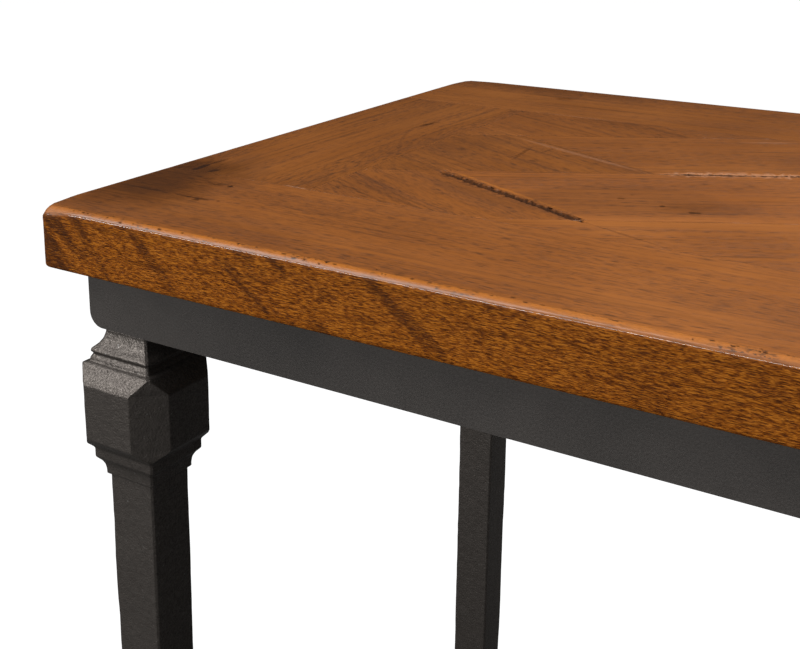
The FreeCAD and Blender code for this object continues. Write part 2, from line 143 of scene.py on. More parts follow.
@dataclass
class Bench:
    """One material while its nodes are wired up."""

    name: str
    material: bpy.types.Material = field(init=False)

    def __post_init__(self) -> None:
        """Start an empty node tree with its shader and output."""
        self.material = bpy.data.materials.new(self.name)
        self.material.use_nodes = True
        self.tree = self.material.node_tree
        self.tree.nodes.clear()
        self.shader = self.tree.nodes.new("ShaderNodeBsdfPrincipled")
        output = self.tree.nodes.new("ShaderNodeOutputMaterial")
        self.wire(self.shader.outputs["BSDF"], output.inputs["Surface"])
        self.place = self.tree.nodes.new("ShaderNodeTexCoord").outputs["Object"]

    def wire(self, start: bpy.types.NodeSocket, end: bpy.types.NodeSocket) -> None:
        """Join two sockets."""
        self.tree.links.new(start, end)

    def feed(self, socket: bpy.types.NodeSocket, value: object) -> None:
        """Set a socket to a value, or join it to another socket.

        Args:
            socket: input to set.
            value: number, vector, colour or output socket.
        """
        if isinstance(value, bpy.types.NodeSocket):
            self.wire(value, socket)
        else:
            socket.default_value = value

    def turn(self, vector: object, angle: float = 0.0, shift: tuple[float, float, float] = (0, 0, 0),
             scale: tuple[float, float, float] = (1, 1, 1)) -> bpy.types.NodeSocket:
        """Scale, turn about Z and shift coordinates.

        Args:
            vector: coordinates.
            angle: turn in radians.
            shift: move after the turn.
            scale: stretch before the turn.

        Returns:
            The new coordinates.
        """
        node = self.tree.nodes.new("ShaderNodeMapping")
        self.feed(node.inputs["Vector"], vector)
        node.inputs["Rotation"].default_value = (0.0, 0.0, angle)
        node.inputs["Location"].default_value = shift
        node.inputs["Scale"].default_value = scale
        return node.outputs["Vector"]

    def noise(self, vector: object, scale: float, detail: float = 2.0, rough: float = 0.5,
              twist: float = 0.0) -> bpy.types.NodeSocket:
        """Noise pattern.

        Args:
            vector: coordinates.
            scale: lumps per unit.
            detail: octaves.
            rough: weight of the finer octaves.
            twist: distortion.

        Returns:
            A number from 0 to 1.
        """
        node = self.tree.nodes.new("ShaderNodeTexNoise")
        self.feed(node.inputs["Vector"], vector)
        node.inputs["Scale"].default_value = scale
        node.inputs["Detail"].default_value = detail
        node.inputs["Roughness"].default_value = rough
        node.inputs["Distortion"].default_value = twist
        return node.outputs["Fac"]

    def reckon(self, kind: str, first: object, second: object, clamp: bool) -> bpy.types.NodeSocket:
        """Arithmetic on two numbers.

        Args:
            kind: operation, such as ADD or MULTIPLY.
            first: first number.
            second: second number.
            clamp: keep the result from 0 to 1.

        Returns:
            The result.
        """
        node = self.tree.nodes.new("ShaderNodeMath")
        node.operation = kind
        node.use_clamp = clamp
        self.feed(node.inputs[0], first)
        self.feed(node.inputs[1], second)
        return node.outputs[0]

    def plus(self, first: object, second: object, clamp: bool = False) -> bpy.types.NodeSocket:
        """The two numbers added, and kept from 0 to 1 if asked."""
        return self.reckon("ADD", first, second, clamp)

    def minus(self, first: object, second: object, clamp: bool = False) -> bpy.types.NodeSocket:
        """The first number less the second, and kept from 0 to 1 if asked."""
        return self.reckon("SUBTRACT", first, second, clamp)

    def times(self, first: object, second: object, clamp: bool = False) -> bpy.types.NodeSocket:
        """The two numbers multiplied, and kept from 0 to 1 if asked."""
        return self.reckon("MULTIPLY", first, second, clamp)

    def most(self, first: object, second: object, clamp: bool = False) -> bpy.types.NodeSocket:
        """The larger of the two numbers, and kept from 0 to 1 if asked."""
        return self.reckon("MAXIMUM", first, second, clamp)

    def span(self, value: object, start: float, end: float, low: float = 0.0,
             high: float = 1.0) -> bpy.types.NodeSocket:
        """Map one range of numbers on to another, eased and kept inside it.

        Args:
            value: number to map.
            start: value that gives low.
            end: value that gives high.
            low: lowest result.
            high: highest result.

        Returns:
            The mapped number.
        """
        node = self.tree.nodes.new("ShaderNodeMapRange")
        node.interpolation_type = "SMOOTHSTEP"
        self.feed(node.inputs["Value"], value)
        node.inputs["From Min"].default_value = start
        node.inputs["From Max"].default_value = end
        node.inputs["To Min"].default_value = low
        node.inputs["To Max"].default_value = high
        return node.outputs["Result"]

    def ramp(self, value: object, stops: list[tuple[float, Colour]]) -> bpy.types.NodeSocket:
        """Colour ramp.

        Args:
            value: place on the ramp.
            stops: places and their colours.

        Returns:
            The colour.
        """
        node = self.tree.nodes.new("ShaderNodeValToRGB")
        self.feed(node.inputs["Fac"], value)
        elements = node.color_ramp.elements
        while len(elements) < len(stops):
            elements.new(0.5)
        for element, (place, colour) in zip(elements, stops):
            element.position = place
            element.color = (*colour, 1.0)
        return node.outputs["Color"]

    def mix(self, amount: object, first: object, second: object, kind: str = "MIX") -> bpy.types.NodeSocket:
        """Blend two colours.

        Args:
            amount: share of the second colour.
            first: first colour.
            second: second colour.
            kind: way of blending.

        Returns:
            The blended colour.
        """
        node = self.tree.nodes.new("ShaderNodeMix")
        node.data_type = "RGBA"
        node.blend_type = kind
        self.feed(node.inputs[0], amount)
        for socket, colour in ((node.inputs[6], first), (node.inputs[7], second)):
            self.feed(socket, (*colour, 1.0) if isinstance(colour, tuple) else colour)
        return node.outputs[2]

    def layer(self, name: str) -> bpy.types.NodeSocket:
        """Number kept on the mesh under a name."""
        node = self.tree.nodes.new("ShaderNodeAttribute")
        node.attribute_name = name
        return node.outputs["Fac"]

    def relief(self, height: object, depth: float, strength: float = 1.0) -> None:
        """Fine relief on the surface.

        Args:
            height: height pattern from 0 to 1.
            depth: depth in metres of that range.
            strength: share of the relief that shows.
        """
        node = self.tree.nodes.new("ShaderNodeBump")
        node.inputs["Strength"].default_value = strength
        node.inputs["Distance"].default_value = depth
        self.feed(node.inputs["Height"], height)
        self.wire(node.outputs["Normal"], self.shader.inputs["Normal"])


@dataclass(frozen=True)
class LacqueredWood:
    """Stained hardwood under rubbed satin lacquer, with its grain at any angle."""

    dark: Colour = (0.150, 0.046, 0.0080)
    mid: Colour = (0.218, 0.0685, 0.0110)
    light: Colour = (0.300, 0.1010, 0.0200)
    pore: Colour = (0.020, 0.008, 0.004)
    # colour of rubbed wood, also laid on as the painted highlight along the lip of one deep groove
    worn: Colour = (0.300, 0.096, 0.0115)
    edge_dark: Colour = (0.060, 0.0150, 0.0014)
    edge_mid: Colour = (0.188, 0.0490, 0.0030)
    edge_light: Colour = (0.370, 0.1250, 0.0120)
    bare: Colour = (0.300, 0.150, 0.085)
    sway: float = 0.030
    pore_share: float = 0.62
    vein_share: float = 0.34
    band_slant: float = -0.70
    calm_from: float = -0.46
    calm_to: float = -0.34
    grain_depth: float = 0.22 * MM
    roughness: float = 0.46
    coat: float = 0.50
    coat_roughness: float = 0.07

    def make(self, name: str, angle: float, seed: int, tone: float) -> bpy.types.Material:
        """Material for one board.

        Args:
            name: material name.
            angle: direction of the grain from +X, in radians.
            seed: which part of the log the board comes from.
            tone: lightness, with 1 as the usual board.

        Returns:
            The material.
        """
        bench = Bench(name)
        start = (0.37 * seed, 1.71 * seed, 0.53 * seed)
        along = bench.turn(bench.place, -angle, start)
        flow = self.swayed(bench, along)
        tint, streak, fibre, pores = self.face_grain(bench, along, flow, tone)
        tint, flecks = self.edge_grain(bench, tint, flow)
        bench.wire(self.worn_tint(bench, tint, flow), bench.shader.inputs["Base Color"])
        self.lacquer(bench, streak)
        height = bench.minus(bench.times(streak, 0.35), bench.times(pores, 0.5))
        height = bench.plus(height, bench.times(fibre, 0.18))
        height = bench.minus(height, bench.times(flecks, 0.4))
        bench.relief(height, self.grain_depth, 0.8)
        return bench.material

    def swayed(self, bench: Bench, along: bpy.types.NodeSocket) -> bpy.types.NodeSocket:
        """Let the grain wander a little to each side.

        Args:
            bench: material in work.
            along: coordinates along the board.

        Returns:
            Coordinates along the grain.
        """
        sway = bench.noise(bench.turn(along, scale=(2.2, 7.0, 7.0)), 1.0, 2.0)
        offset = bench.tree.nodes.new("ShaderNodeCombineXYZ")
        bench.wire(bench.times(sway, self.sway), offset.inputs["Y"])
        flow = bench.tree.nodes.new("ShaderNodeVectorMath")
        bench.wire(along, flow.inputs[0])
        bench.wire(offset.outputs["Vector"], flow.inputs[1])
        return flow.outputs["Vector"]

    def face_grain(self, bench: Bench, along: bpy.types.NodeSocket, flow: bpy.types.NodeSocket,
                   tone: float) -> tuple[bpy.types.NodeSocket, ...]:
        """Figure, pores and fine veins of the boards' faces.

        Args:
            bench: material in work.
            along: coordinates along the board.
            flow: coordinates along the grain.
            tone: lightness of the board.

        Returns:
            The colour, the streaks, the fibres and where the pores are.
        """
        broad = bench.noise(bench.turn(flow, scale=(1.3, 17.0, 17.0)), 1.0, 3.0, 0.55)
        streak = bench.noise(bench.turn(flow, scale=(3.5, 120.0, 120.0)), 1.0, 4.0, 0.62)
        fibre = bench.noise(bench.turn(flow, scale=(28.0, 900.0, 900.0)), 1.0, 2.0, 0.6)
        cloud = bench.noise(along, 9.0, 2.0, 0.5)
        figure = bench.times(broad, 0.30)
        for pattern, weight in ((streak, 0.22), (fibre, 0.16), (cloud, 0.32)):
            figure = bench.plus(figure, bench.times(pattern, weight))
        tint = bench.ramp(figure, [(0.34, self.dark), (0.50, self.mid), (0.66, self.light)])
        tint = bench.mix(1.0, tint, (tone, tone * (0.97 + 0.03 * tone), tone * tone), "MULTIPLY")
        dashes = bench.noise(bench.turn(flow, scale=(95.0, 1500.0, 1500.0)), 1.0, 1.0)
        open_grain = bench.span(bench.plus(bench.times(streak, 0.5), bench.times(broad, 0.5)), 0.60, 0.42)
        pores = bench.times(bench.span(dashes, 0.53, 0.62), bench.plus(open_grain, 0.20), clamp=True)
        tint = bench.mix(bench.times(pores, self.pore_share), tint, self.pore)
        veins = bench.noise(bench.turn(flow, scale=(7.0, 300.0, 300.0)), 1.0, 3.0, 0.6, 0.3)
        tint = bench.mix(bench.span(veins, 0.43, 0.32, 0.0, self.vein_share), tint, self.pore)
        return tint, streak, fibre, pores

    def edge_grain(self, bench: Bench, tint: bpy.types.NodeSocket,
                   flow: bpy.types.NodeSocket) -> tuple[bpy.types.NodeSocket, bpy.types.NodeSocket]:
        """Coarse dark flecks and slanting bands of the boards' outer edges.

        Args:
            bench: material in work.
            tint: colour so far.
            flow: coordinates along the grain.

        Returns:
            The new colour, and where the flecks are.
        """
        side = bench.layer("side")
        slant = bench.tree.nodes.new("ShaderNodeMapping")
        bench.wire(flow, slant.inputs["Vector"])
        slant.inputs["Rotation"].default_value = (0.0, self.band_slant, 0.0)
        bands = bench.turn(slant.outputs["Vector"], scale=(9.0, 14.0, 38.0))
        bands = bench.noise(bands, 1.0, 3.0, 0.6, 0.8)
        fleck = bench.noise(bench.turn(flow, scale=(230.0, 1250.0, 2000.0)), 1.0, 2.0, 0.6, 0.5)
        split = bench.tree.nodes.new("ShaderNodeSeparateXYZ")
        bench.wire(bench.place, split.inputs["Vector"])
        lively = bench.span(split.outputs["X"], self.calm_from, self.calm_to, 1.0, 0.25)
        deep = bench.times(bench.span(bands, 0.50, 0.34), lively)
        mottle = bench.ramp(bench.minus(fleck, bench.times(deep, 0.07)), [
            (0.36, self.edge_dark), (0.49, self.edge_mid), (0.63, self.edge_light)])
        tint = bench.mix(side, tint, mottle)
        veins = bench.noise(bench.turn(flow, scale=(24.0, 240.0, 380.0)), 1.0, 3.0, 0.6, 0.8)
        veins = bench.times(bench.span(veins, 0.45, 0.34), bench.times(side, 0.5))
        tint = bench.mix(veins, tint, self.edge_dark)
        flecks = bench.times(bench.span(fleck, 0.46, 0.38), side)
        tint = bench.mix(bench.times(bench.times(deep, side), 0.50), tint, self.pore)
        return tint, flecks

    def worn_tint(self, bench: Bench, tint: bpy.types.NodeSocket,
                  flow: bpy.types.NodeSocket) -> bpy.types.NodeSocket:
        """Colour where the wood is rubbed, bared or stained, and the painted shade and painted highlight of
        one deep groove.

        Args:
            bench: material in work.
            tint: colour so far.
            flow: coordinates along the grain.

        Returns:
            The new colour.
        """
        worn = bench.layer("worn")
        crumbs = bench.noise(bench.place, 620.0, 2.0, 0.6)
        # the rubbed colour here also paints the highlight along the lip of one deep groove
        tint = bench.mix(bench.times(worn, bench.span(crumbs, 0.30, 0.62, 0.55, 1.0)), tint, self.worn)
        bared = bench.times(bench.layer("pale"), bench.span(crumbs, 0.38, 0.56, 0.25, 1.0))
        tint = bench.mix(bared, tint, self.bare)
        # the dark layer also holds the painted shade inside one deep groove
        tint = bench.mix(bench.layer("dark"), tint, self.pore)
        border = bench.times(bench.times(worn, bench.minus(1.0, worn)), 4.0, clamp=True)
        grime = bench.noise(bench.turn(flow, scale=(300.0, 760.0, 760.0)), 1.0, 2.0, 0.6)
        patches = bench.span(bench.noise(bench.place, 38.0, 1.0), 0.44, 0.56)
        specks = bench.times(bench.span(grime, 0.53, 0.59), patches)
        return bench.mix(bench.times(bench.times(specks, border), 0.85), tint, self.pore)

    def lacquer(self, bench: Bench, streak: bpy.types.NodeSocket) -> None:
        """Shine of the lacquer, which is gone from marks and from the outer edges.

        Args:
            bench: material in work.
            streak: streaks of the grain.
        """
        side, worn = bench.layer("side"), bench.layer("worn")
        dark, pale = bench.layer("dark"), bench.layer("pale")
        marks = bench.most(dark, pale)
        gloss = bench.span(streak, 0.3, 0.7, self.roughness + 0.06, self.roughness - 0.04)
        gloss = bench.plus(gloss, bench.times(marks, 0.25), clamp=True)
        bench.wire(gloss, bench.shader.inputs["Roughness"])
        dull = bench.most(side, dark, clamp=True)
        bench.wire(bench.span(dull, 0.0, 0.7, 0.38, 0.08), bench.shader.inputs["Specular IOR Level"])
        coat_loss = bench.most(marks, bench.times(worn, 0.8), clamp=True)
        film = bench.times(bench.span(coat_loss, 0.10, 0.6, self.coat, 0.03),
                           bench.span(side, 0.80, 1.0, 1.0, 0.05))
        bench.wire(film, bench.shader.inputs["Coat Weight"])
        bench.shader.inputs["Coat Roughness"].default_value = self.coat_roughness


@dataclass(frozen=True)
class RawTimber:
    """Unfinished timber, such as battens, dowels or the face of plywood."""

    dark: Colour
    light: Colour
    angle: float = 0.0
    roughness: float = 0.72

    def make(self, name: str) -> bpy.types.Material:
        """Material with straight pale grain.

        Args:
            name: material name.

        Returns:
            The material.
        """
        bench = Bench(name)
        along = bench.turn(bench.place, -self.angle)
        broad = bench.noise(bench.turn(along, scale=(1.6, 26.0, 26.0)), 1.0, 3.0, 0.55, 0.4)
        fine = bench.noise(bench.turn(along, scale=(14.0, 420.0, 420.0)), 1.0, 3.0, 0.6)
        grain = bench.plus(bench.times(broad, 0.65), bench.times(fine, 0.35))
        tint = bench.ramp(grain, [(0.36, self.dark), (0.62, self.light)])
        bench.wire(tint, bench.shader.inputs["Base Color"])
        bench.wire(bench.span(fine, 0.3, 0.7, self.roughness - 0.06, self.roughness + 0.08),
                   bench.shader.inputs["Roughness"])
        bench.shader.inputs["Specular IOR Level"].default_value = 0.3
        bench.relief(fine, 0.00025, 0.7)
        return bench.material


@dataclass(frozen=True)
class CastIron:
    """Waxed rough casting, with sand pits and a few bright scuffs."""

    deep: Colour = (0.048, 0.0405, 0.0350)
    body: Colour = (0.116, 0.1020, 0.0910)
    scuff: Colour = (0.300, 0.290, 0.280)
    roughness: float = 0.46
    metal: float = 0.75
    pit_depth: float = 0.9 * MM

    def make(self, name: str) -> bpy.types.Material:
        """Material for the legs.

        Args:
            name: material name.

        Returns:
            The material.
        """
        bench = Bench(name)
        lumps = bench.noise(bench.place, 210.0, 2.0, 0.5)
        sand = bench.noise(bench.place, 720.0, 2.0, 0.6)
        specks = bench.noise(bench.place, 300.0, 1.0)
        skin = bench.plus(bench.times(lumps, 0.25), bench.times(sand, 0.75))
        tint = bench.ramp(skin, [(0.22, self.deep), (0.66, self.body)])
        bright = bench.span(specks, 0.74, 0.82)
        tint = bench.mix(bench.times(bright, 0.55), tint, self.scuff)
        bench.wire(tint, bench.shader.inputs["Base Color"])
        bench.wire(bench.span(sand, 0.3, 0.7, self.roughness + 0.12, self.roughness - 0.08),
                   bench.shader.inputs["Roughness"])
        bench.shader.inputs["Metallic"].default_value = self.metal
        bench.relief(bench.plus(bench.times(lumps, 0.7), bench.times(sand, 0.6)), self.pit_depth, 0.8)
        return bench.material


@dataclass(frozen=True)
class PowderCoat:
    """Fine-textured charcoal powder coat on steel."""

    shade: Colour = (0.0375, 0.0325, 0.0290)
    roughness: float = 0.62

    def make(self, name: str) -> bpy.types.Material:
        """Material for the apron and the steel inside it.

        Args:
            name: material name.

        Returns:
            The material.
        """
        bench = Bench(name)
        grit = bench.noise(bench.place, 620.0, 3.0, 0.7)
        haze = bench.noise(bench.place, 11.0, 3.0, 0.6)
        low = tuple(0.66 * c for c in self.shade)
        high = tuple(1.32 * c for c in self.shade)
        blend = bench.plus(bench.times(grit, 0.45), bench.times(haze, 0.55))
        bench.wire(bench.ramp(blend, [(0.35, low), (0.65, high)]), bench.shader.inputs["Base Color"])
        bench.wire(bench.span(grit, 0.3, 0.7, self.roughness - 0.08, self.roughness + 0.08),
                   bench.shader.inputs["Roughness"])
        bench.shader.inputs["Specular IOR Level"].default_value = 0.45
        bench.relief(grit, 0.00035, 0.8)
        return bench.material


@dataclass(frozen=True)
class ZincSteel:
    """Zinc-plated fasteners with a faint spangle."""

    shade: Colour = (0.50, 0.50, 0.48)

    def make(self, name: str) -> bpy.types.Material:
        """Material for screws, bolts, washers and pins.

        Args:
            name: material name.

        Returns:
            The material.
        """
        bench = Bench(name)
        spangle = bench.noise(bench.place, 420.0, 2.0, 0.6, 0.8)
        dull = tuple(0.72 * c for c in self.shade)
        tint = bench.ramp(spangle, [(0.35, dull), (0.65, self.shade)])
        bench.wire(tint, bench.shader.inputs["Base Color"])
        bench.wire(bench.span(spangle, 0.3, 0.7, 0.46, 0.30), bench.shader.inputs["Roughness"])
        bench.shader.inputs["Metallic"].default_value = 1.0
        bench.relief(spangle, 0.0001, 0.5)
        return bench.material


@dataclass(frozen=True)
class MouldedNylon:
    """Black nylon of the feet, lightly scratched by the floor."""

    shade: Colour = (0.022, 0.022, 0.023)

    def make(self, name: str) -> bpy.types.Material:
        """Material for the glides.

        Args:
            name: material name.

        Returns:
            The material.
        """
        bench = Bench(name)
        scratch = bench.noise(bench.turn(bench.place, scale=(90.0, 900.0, 90.0)), 1.0, 3.0, 0.6)
        grey = tuple(2.2 * c for c in self.shade)
        tint = bench.ramp(scratch, [(0.55, self.shade), (0.75, grey)])
        bench.wire(tint, bench.shader.inputs["Base Color"])
        bench.wire(bench.span(scratch, 0.3, 0.7, 0.42, 0.60), bench.shader.inputs["Roughness"])
        bench.relief(scratch, 0.0001, 0.5)
        return bench.material


# ---------------------------------------------------------------- marks of use on the top, and painted shade and highlight

@dataclass(frozen=True)
class LineMark:
    """A straight mark on the top, in millimetres from the left end and from the front edge; most are scars,
    and two lines give the painted shade and the painted highlight of one deep groove.
    """

    start: tuple[float, float]
    end: tuple[float, float]
    width: float
    dark: float = 0.0
    pale: float = 0.0
    worn: float = 0.0
    depth: float = 0.0
    ragged: float = 0.35
    fade: float = 0.15


@dataclass(frozen=True)
class Stain:
    """A soft darker patch; millimetres from the left end and from the front edge."""

    centre: tuple[float, float]
    reach: tuple[float, float]
    angle: float
    strength: float
    edge: float = 1.0


@dataclass
class TopWearAndPaintedLight:
    """Everything that years of use and the joints between boards have left on the top, with the painted
    shade and the painted highlight of one deep groove.
    """

    left: float
    front: float
    length: float
    depth: float
    arris: float = 5.0 * MM
    corner_ease: float = 4.5 * MM
    chip_step: float = 4.5 * MM
    chip_size: float = 0.9 * MM
    line_marks: tuple[LineMark, ...] = (
        # painted shade: the dark fill of this deep groove stands in for the shade inside it, on its steep
        # far wall
        LineMark((185.0, 235.5), (328.0, 165.5), 4.6, dark=0.92, depth=1.9, ragged=0.40, fade=0.05),
        # painted highlight: this line of rubbed colour stands in for light catching the far lip of the deep
        # groove on the line before
        LineMark((192.0, 240.5), (322.0, 176.5), 2.0, worn=0.80, ragged=0.4, fade=0.15),
        LineMark((322.0, 168.0), (396.0, 138.0), 1.7, dark=0.45, depth=0.15, fade=0.5),
        LineMark((324.0, 317.0), (486.0, 408.0), 7.4, pale=0.70, depth=0.5, ragged=0.5, fade=0.12),
        LineMark((328.0, 319.5), (480.0, 405.0), 2.6, dark=0.85, depth=0.3, ragged=1.2, fade=0.1),
        LineMark((173.5, 379.0), (318.0, 313.5), 3.6, pale=0.30, ragged=0.2, fade=0.3),
        LineMark((186.0, 236.5), (324.0, 316.5), 1.4, dark=0.40, depth=0.1, ragged=0.2, fade=0.3),
        LineMark((126.0, 199.5), (186.0, 237.0), 1.4, dark=0.30, depth=0.1, ragged=0.2, fade=0.3),
        LineMark((340.0, 459.0), (384.0, 484.0), 3.5, pale=0.28, ragged=0.3, fade=0.4),
        LineMark((145.0, 488.3), (231.0, 488.3), 2.5, pale=0.22, ragged=0.3, fade=0.4),
        LineMark((110.0, 136.5), (132.0, 136.0), 1.8, pale=0.50, ragged=0.2, fade=0.2),
        LineMark((24.3, 135.5), (23.2, 160.0), 3.4, dark=0.95, depth=0.3, fade=0.2),
        LineMark((23.2, 158.0), (24.4, 186.0), 1.9, dark=0.70, depth=0.2, fade=0.5),
        LineMark((37.6, 137.0), (40.6, 150.0), 3.0, dark=0.85, depth=0.2, fade=0.3),
        LineMark((13.0, 143.0), (8.0, 133.0), 2.2, dark=0.60, fade=0.4),
        LineMark((5.2, 120.0), (7.5, 131.0), 1.8, dark=0.55, fade=0.4),
        LineMark((78.5, 112.1), (81.5, 112.3), 3.4, dark=0.95, depth=0.3, ragged=0.2, fade=0.1),
        LineMark((62.0, 111.0), (74.0, 111.0), 2.6, dark=0.50, depth=0.1, ragged=0.6, fade=0.4),
        LineMark((9.0, 75.6), (52.0, 74.8), 2.2, dark=0.62, depth=0.15, ragged=0.5, fade=0.35),
        LineMark((60.0, 75.2), (72.0, 74.0), 1.6, dark=0.45, ragged=0.8, fade=0.3),
        LineMark((70.5, 73.8), (92.0, 73.8), 2.2, dark=0.82, depth=0.15, ragged=0.7, fade=0.2),
        LineMark((97.0, 75.4), (99.5, 75.5), 1.8, dark=0.70, ragged=0.3, fade=0.2),
        LineMark((3.8, 47.0), (2.6, 58.0), 1.4, dark=0.35, fade=0.3),
        LineMark((24.0, 47.0), (42.0, 45.5), 1.8, dark=0.35, ragged=0.6, fade=0.5),
        LineMark((85.9, 366.0), (89.9, 401.0), 3.0, dark=0.72, depth=0.1, ragged=0.4, fade=0.45),
        LineMark((88.0, 352.0), (102.0, 312.0), 1.8, dark=0.30, fade=0.4),
        LineMark((102.0, 314.0), (127.0, 268.0), 1.8, dark=0.28, fade=0.4),
        LineMark((211.6, 299.0), (205.0, 354.0), 2.4, dark=0.55, depth=0.05, ragged=0.5, fade=0.4),
        LineMark((220.8, 329.5), (222.0, 355.0), 2.0, dark=0.40, ragged=0.5, fade=0.4),
        LineMark((126.0, 566.0), (150.0, 568.5), 7.0, dark=0.55, ragged=0.4, fade=0.4),
        LineMark((92.0, 544.0), (130.0, 553.0), 6.0, dark=0.24, ragged=0.6, fade=0.4),
        LineMark((150.0, 571.0), (240.0, 578.0), 5.0, dark=0.22, ragged=0.7, fade=0.5),
        LineMark((324.0, 234.0), (329.0, 235.0), 2.6, dark=0.55, ragged=0.3),
        LineMark((328.5, 247.0), (330.5, 248.0), 1.8, dark=0.40, ragged=0.3),
        LineMark((355.5, 229.5), (359.0, 231.0), 3.0, dark=0.75, depth=0.2, ragged=0.3),
        LineMark((377.0, 224.5), (385.0, 227.0), 2.6, dark=0.70, depth=0.1, ragged=0.5),
    )
    stains: tuple[Stain, ...] = (
        Stain((22.0, 105.0), (66.0, 100.0), 0.15, 0.80),
        Stain((75.0, 45.0), (120.0, 30.0), 0.0, 0.16),
        Stain((115.0, 606.0), (150.0, 26.0), 0.0, 0.40),
        Stain((150.0, 160.0), (40.0, 26.0), 0.3, 0.10),
        Stain((326.0, 226.0), (74.0, 46.0), 0.55, 0.22, 0.16),
        Stain((322.0, 224.0), (62.0, 36.0), 0.55, 0.10, 0.5),
        Stain((384.0, 238.0), (34.0, 18.0), 0.50, 0.26, 0.6),
        Stain((236.0, 190.0), (58.0, 14.0), -0.46, 0.24),
        Stain((152.0, 330.0), (40.0, 62.0), 0.0, 0.12),
        Stain((60.0, 420.0), (34.0, 90.0), 0.0, 0.10),
        Stain((560.0, 60.0), (200.0, 16.0), 0.02, 0.14),
        Stain((470.0, 30.0), (160.0, 8.0), 0.0, 0.16),
    )

    def plan(self, points: np.ndarray) -> np.ndarray:
        """Millimetres from the left end and from the front edge.

        Args:
            points: places in metres.

        Returns:
            Two numbers for each place.
        """
        return (points[:, :2] - np.array([self.left, self.front])) / MM

    def fine_zones(self) -> list[tuple[np.ndarray, np.ndarray, float]]:
        """Stretches near the marks, where the mesh is fine.

        Returns:
            Start, end and reach of each stretch, in metres.
        """
        corner = np.array([self.left, self.front])
        return [(corner + np.array(line_mark.start) * MM, corner + np.array(line_mark.end) * MM,
                 (line_mark.width / 2.0 + 1.6) * MM) for line_mark in self.line_marks]

    def read(self, points: np.ndarray) -> dict[str, np.ndarray]:
        """Depth and colour of the marks of use at places on the top, with the painted shade and highlight
        of one deep groove.

        Args:
            points: places in metres.

        Returns:
            The layers depth (metres), dark, pale and worn.
        """
        flat = self.plan(points)
        layers = {name: np.zeros(len(points)) for name in ("depth", "dark", "pale", "worn")}
        ragged = lattice_noise(points, 2.6 * MM, 5)
        crumbly = lattice_noise(points, 1.1 * MM, 9)
        for line_mark in self.line_marks:
            start, end = np.array(line_mark.start), np.array(line_mark.end)
            run = end - start
            size = max(float(np.hypot(*run)), 1e-6)
            share = (flat - start) @ run / size ** 2
            nearest = start + np.clip(share, 0.0, 1.0)[:, None] * run
            distance = np.hypot(*(flat - nearest).T)
            close = distance < line_mark.width * 1.6
            taper = smooth(np.minimum(share, 1.0 - share), -0.02, max(line_mark.fade, 0.02))
            half = line_mark.width / 2.0 * (0.35 + 0.65 * taper) * (1.0 + line_mark.ragged * ragged)
            body = smooth(half * 1.25 - distance, -0.25 * line_mark.width, 0.30 * line_mark.width) * close
            body *= np.clip(0.4 + 0.6 * taper + line_mark.ragged * 0.5 * crumbly, 0.0, 1.0)
            layers["depth"] = np.maximum(layers["depth"], body * line_mark.depth * MM)
            stained = smooth(half * 1.55 - distance, -0.10 * line_mark.width, 0.18 * line_mark.width) * close
            stained *= np.clip(0.5 + 0.5 * taper + line_mark.ragged * 0.6 * crumbly, 0.0, 1.0)
            for name in ("dark", "pale", "worn"):
                layers[name] = np.maximum(layers[name], stained * getattr(line_mark, name))
        cloudy = lattice_noise(points, 26.0 * MM, 21) * 0.6 + lattice_noise(points, 9.0 * MM, 22) * 0.4
        for stain in self.stains:
            away = flat - np.array(stain.centre)
            turn = np.array([[math.cos(stain.angle), math.sin(stain.angle)],
                             [-math.sin(stain.angle), math.cos(stain.angle)]])
            spread = np.hypot(*((away @ turn.T) / np.array(stain.reach)).T)
            soft = smooth(1.0 + 0.25 * stain.edge - spread + 0.25 * stain.edge * cloudy, 0.0, stain.edge)
            soft *= stain.strength
            layers["dark"] = 1.0 - (1.0 - layers["dark"]) * (1.0 - soft)
        return layers


class Rim(enum.Enum):
    """What a board's edge meets."""

    OPEN = "open air"
    JOINT = "another board"


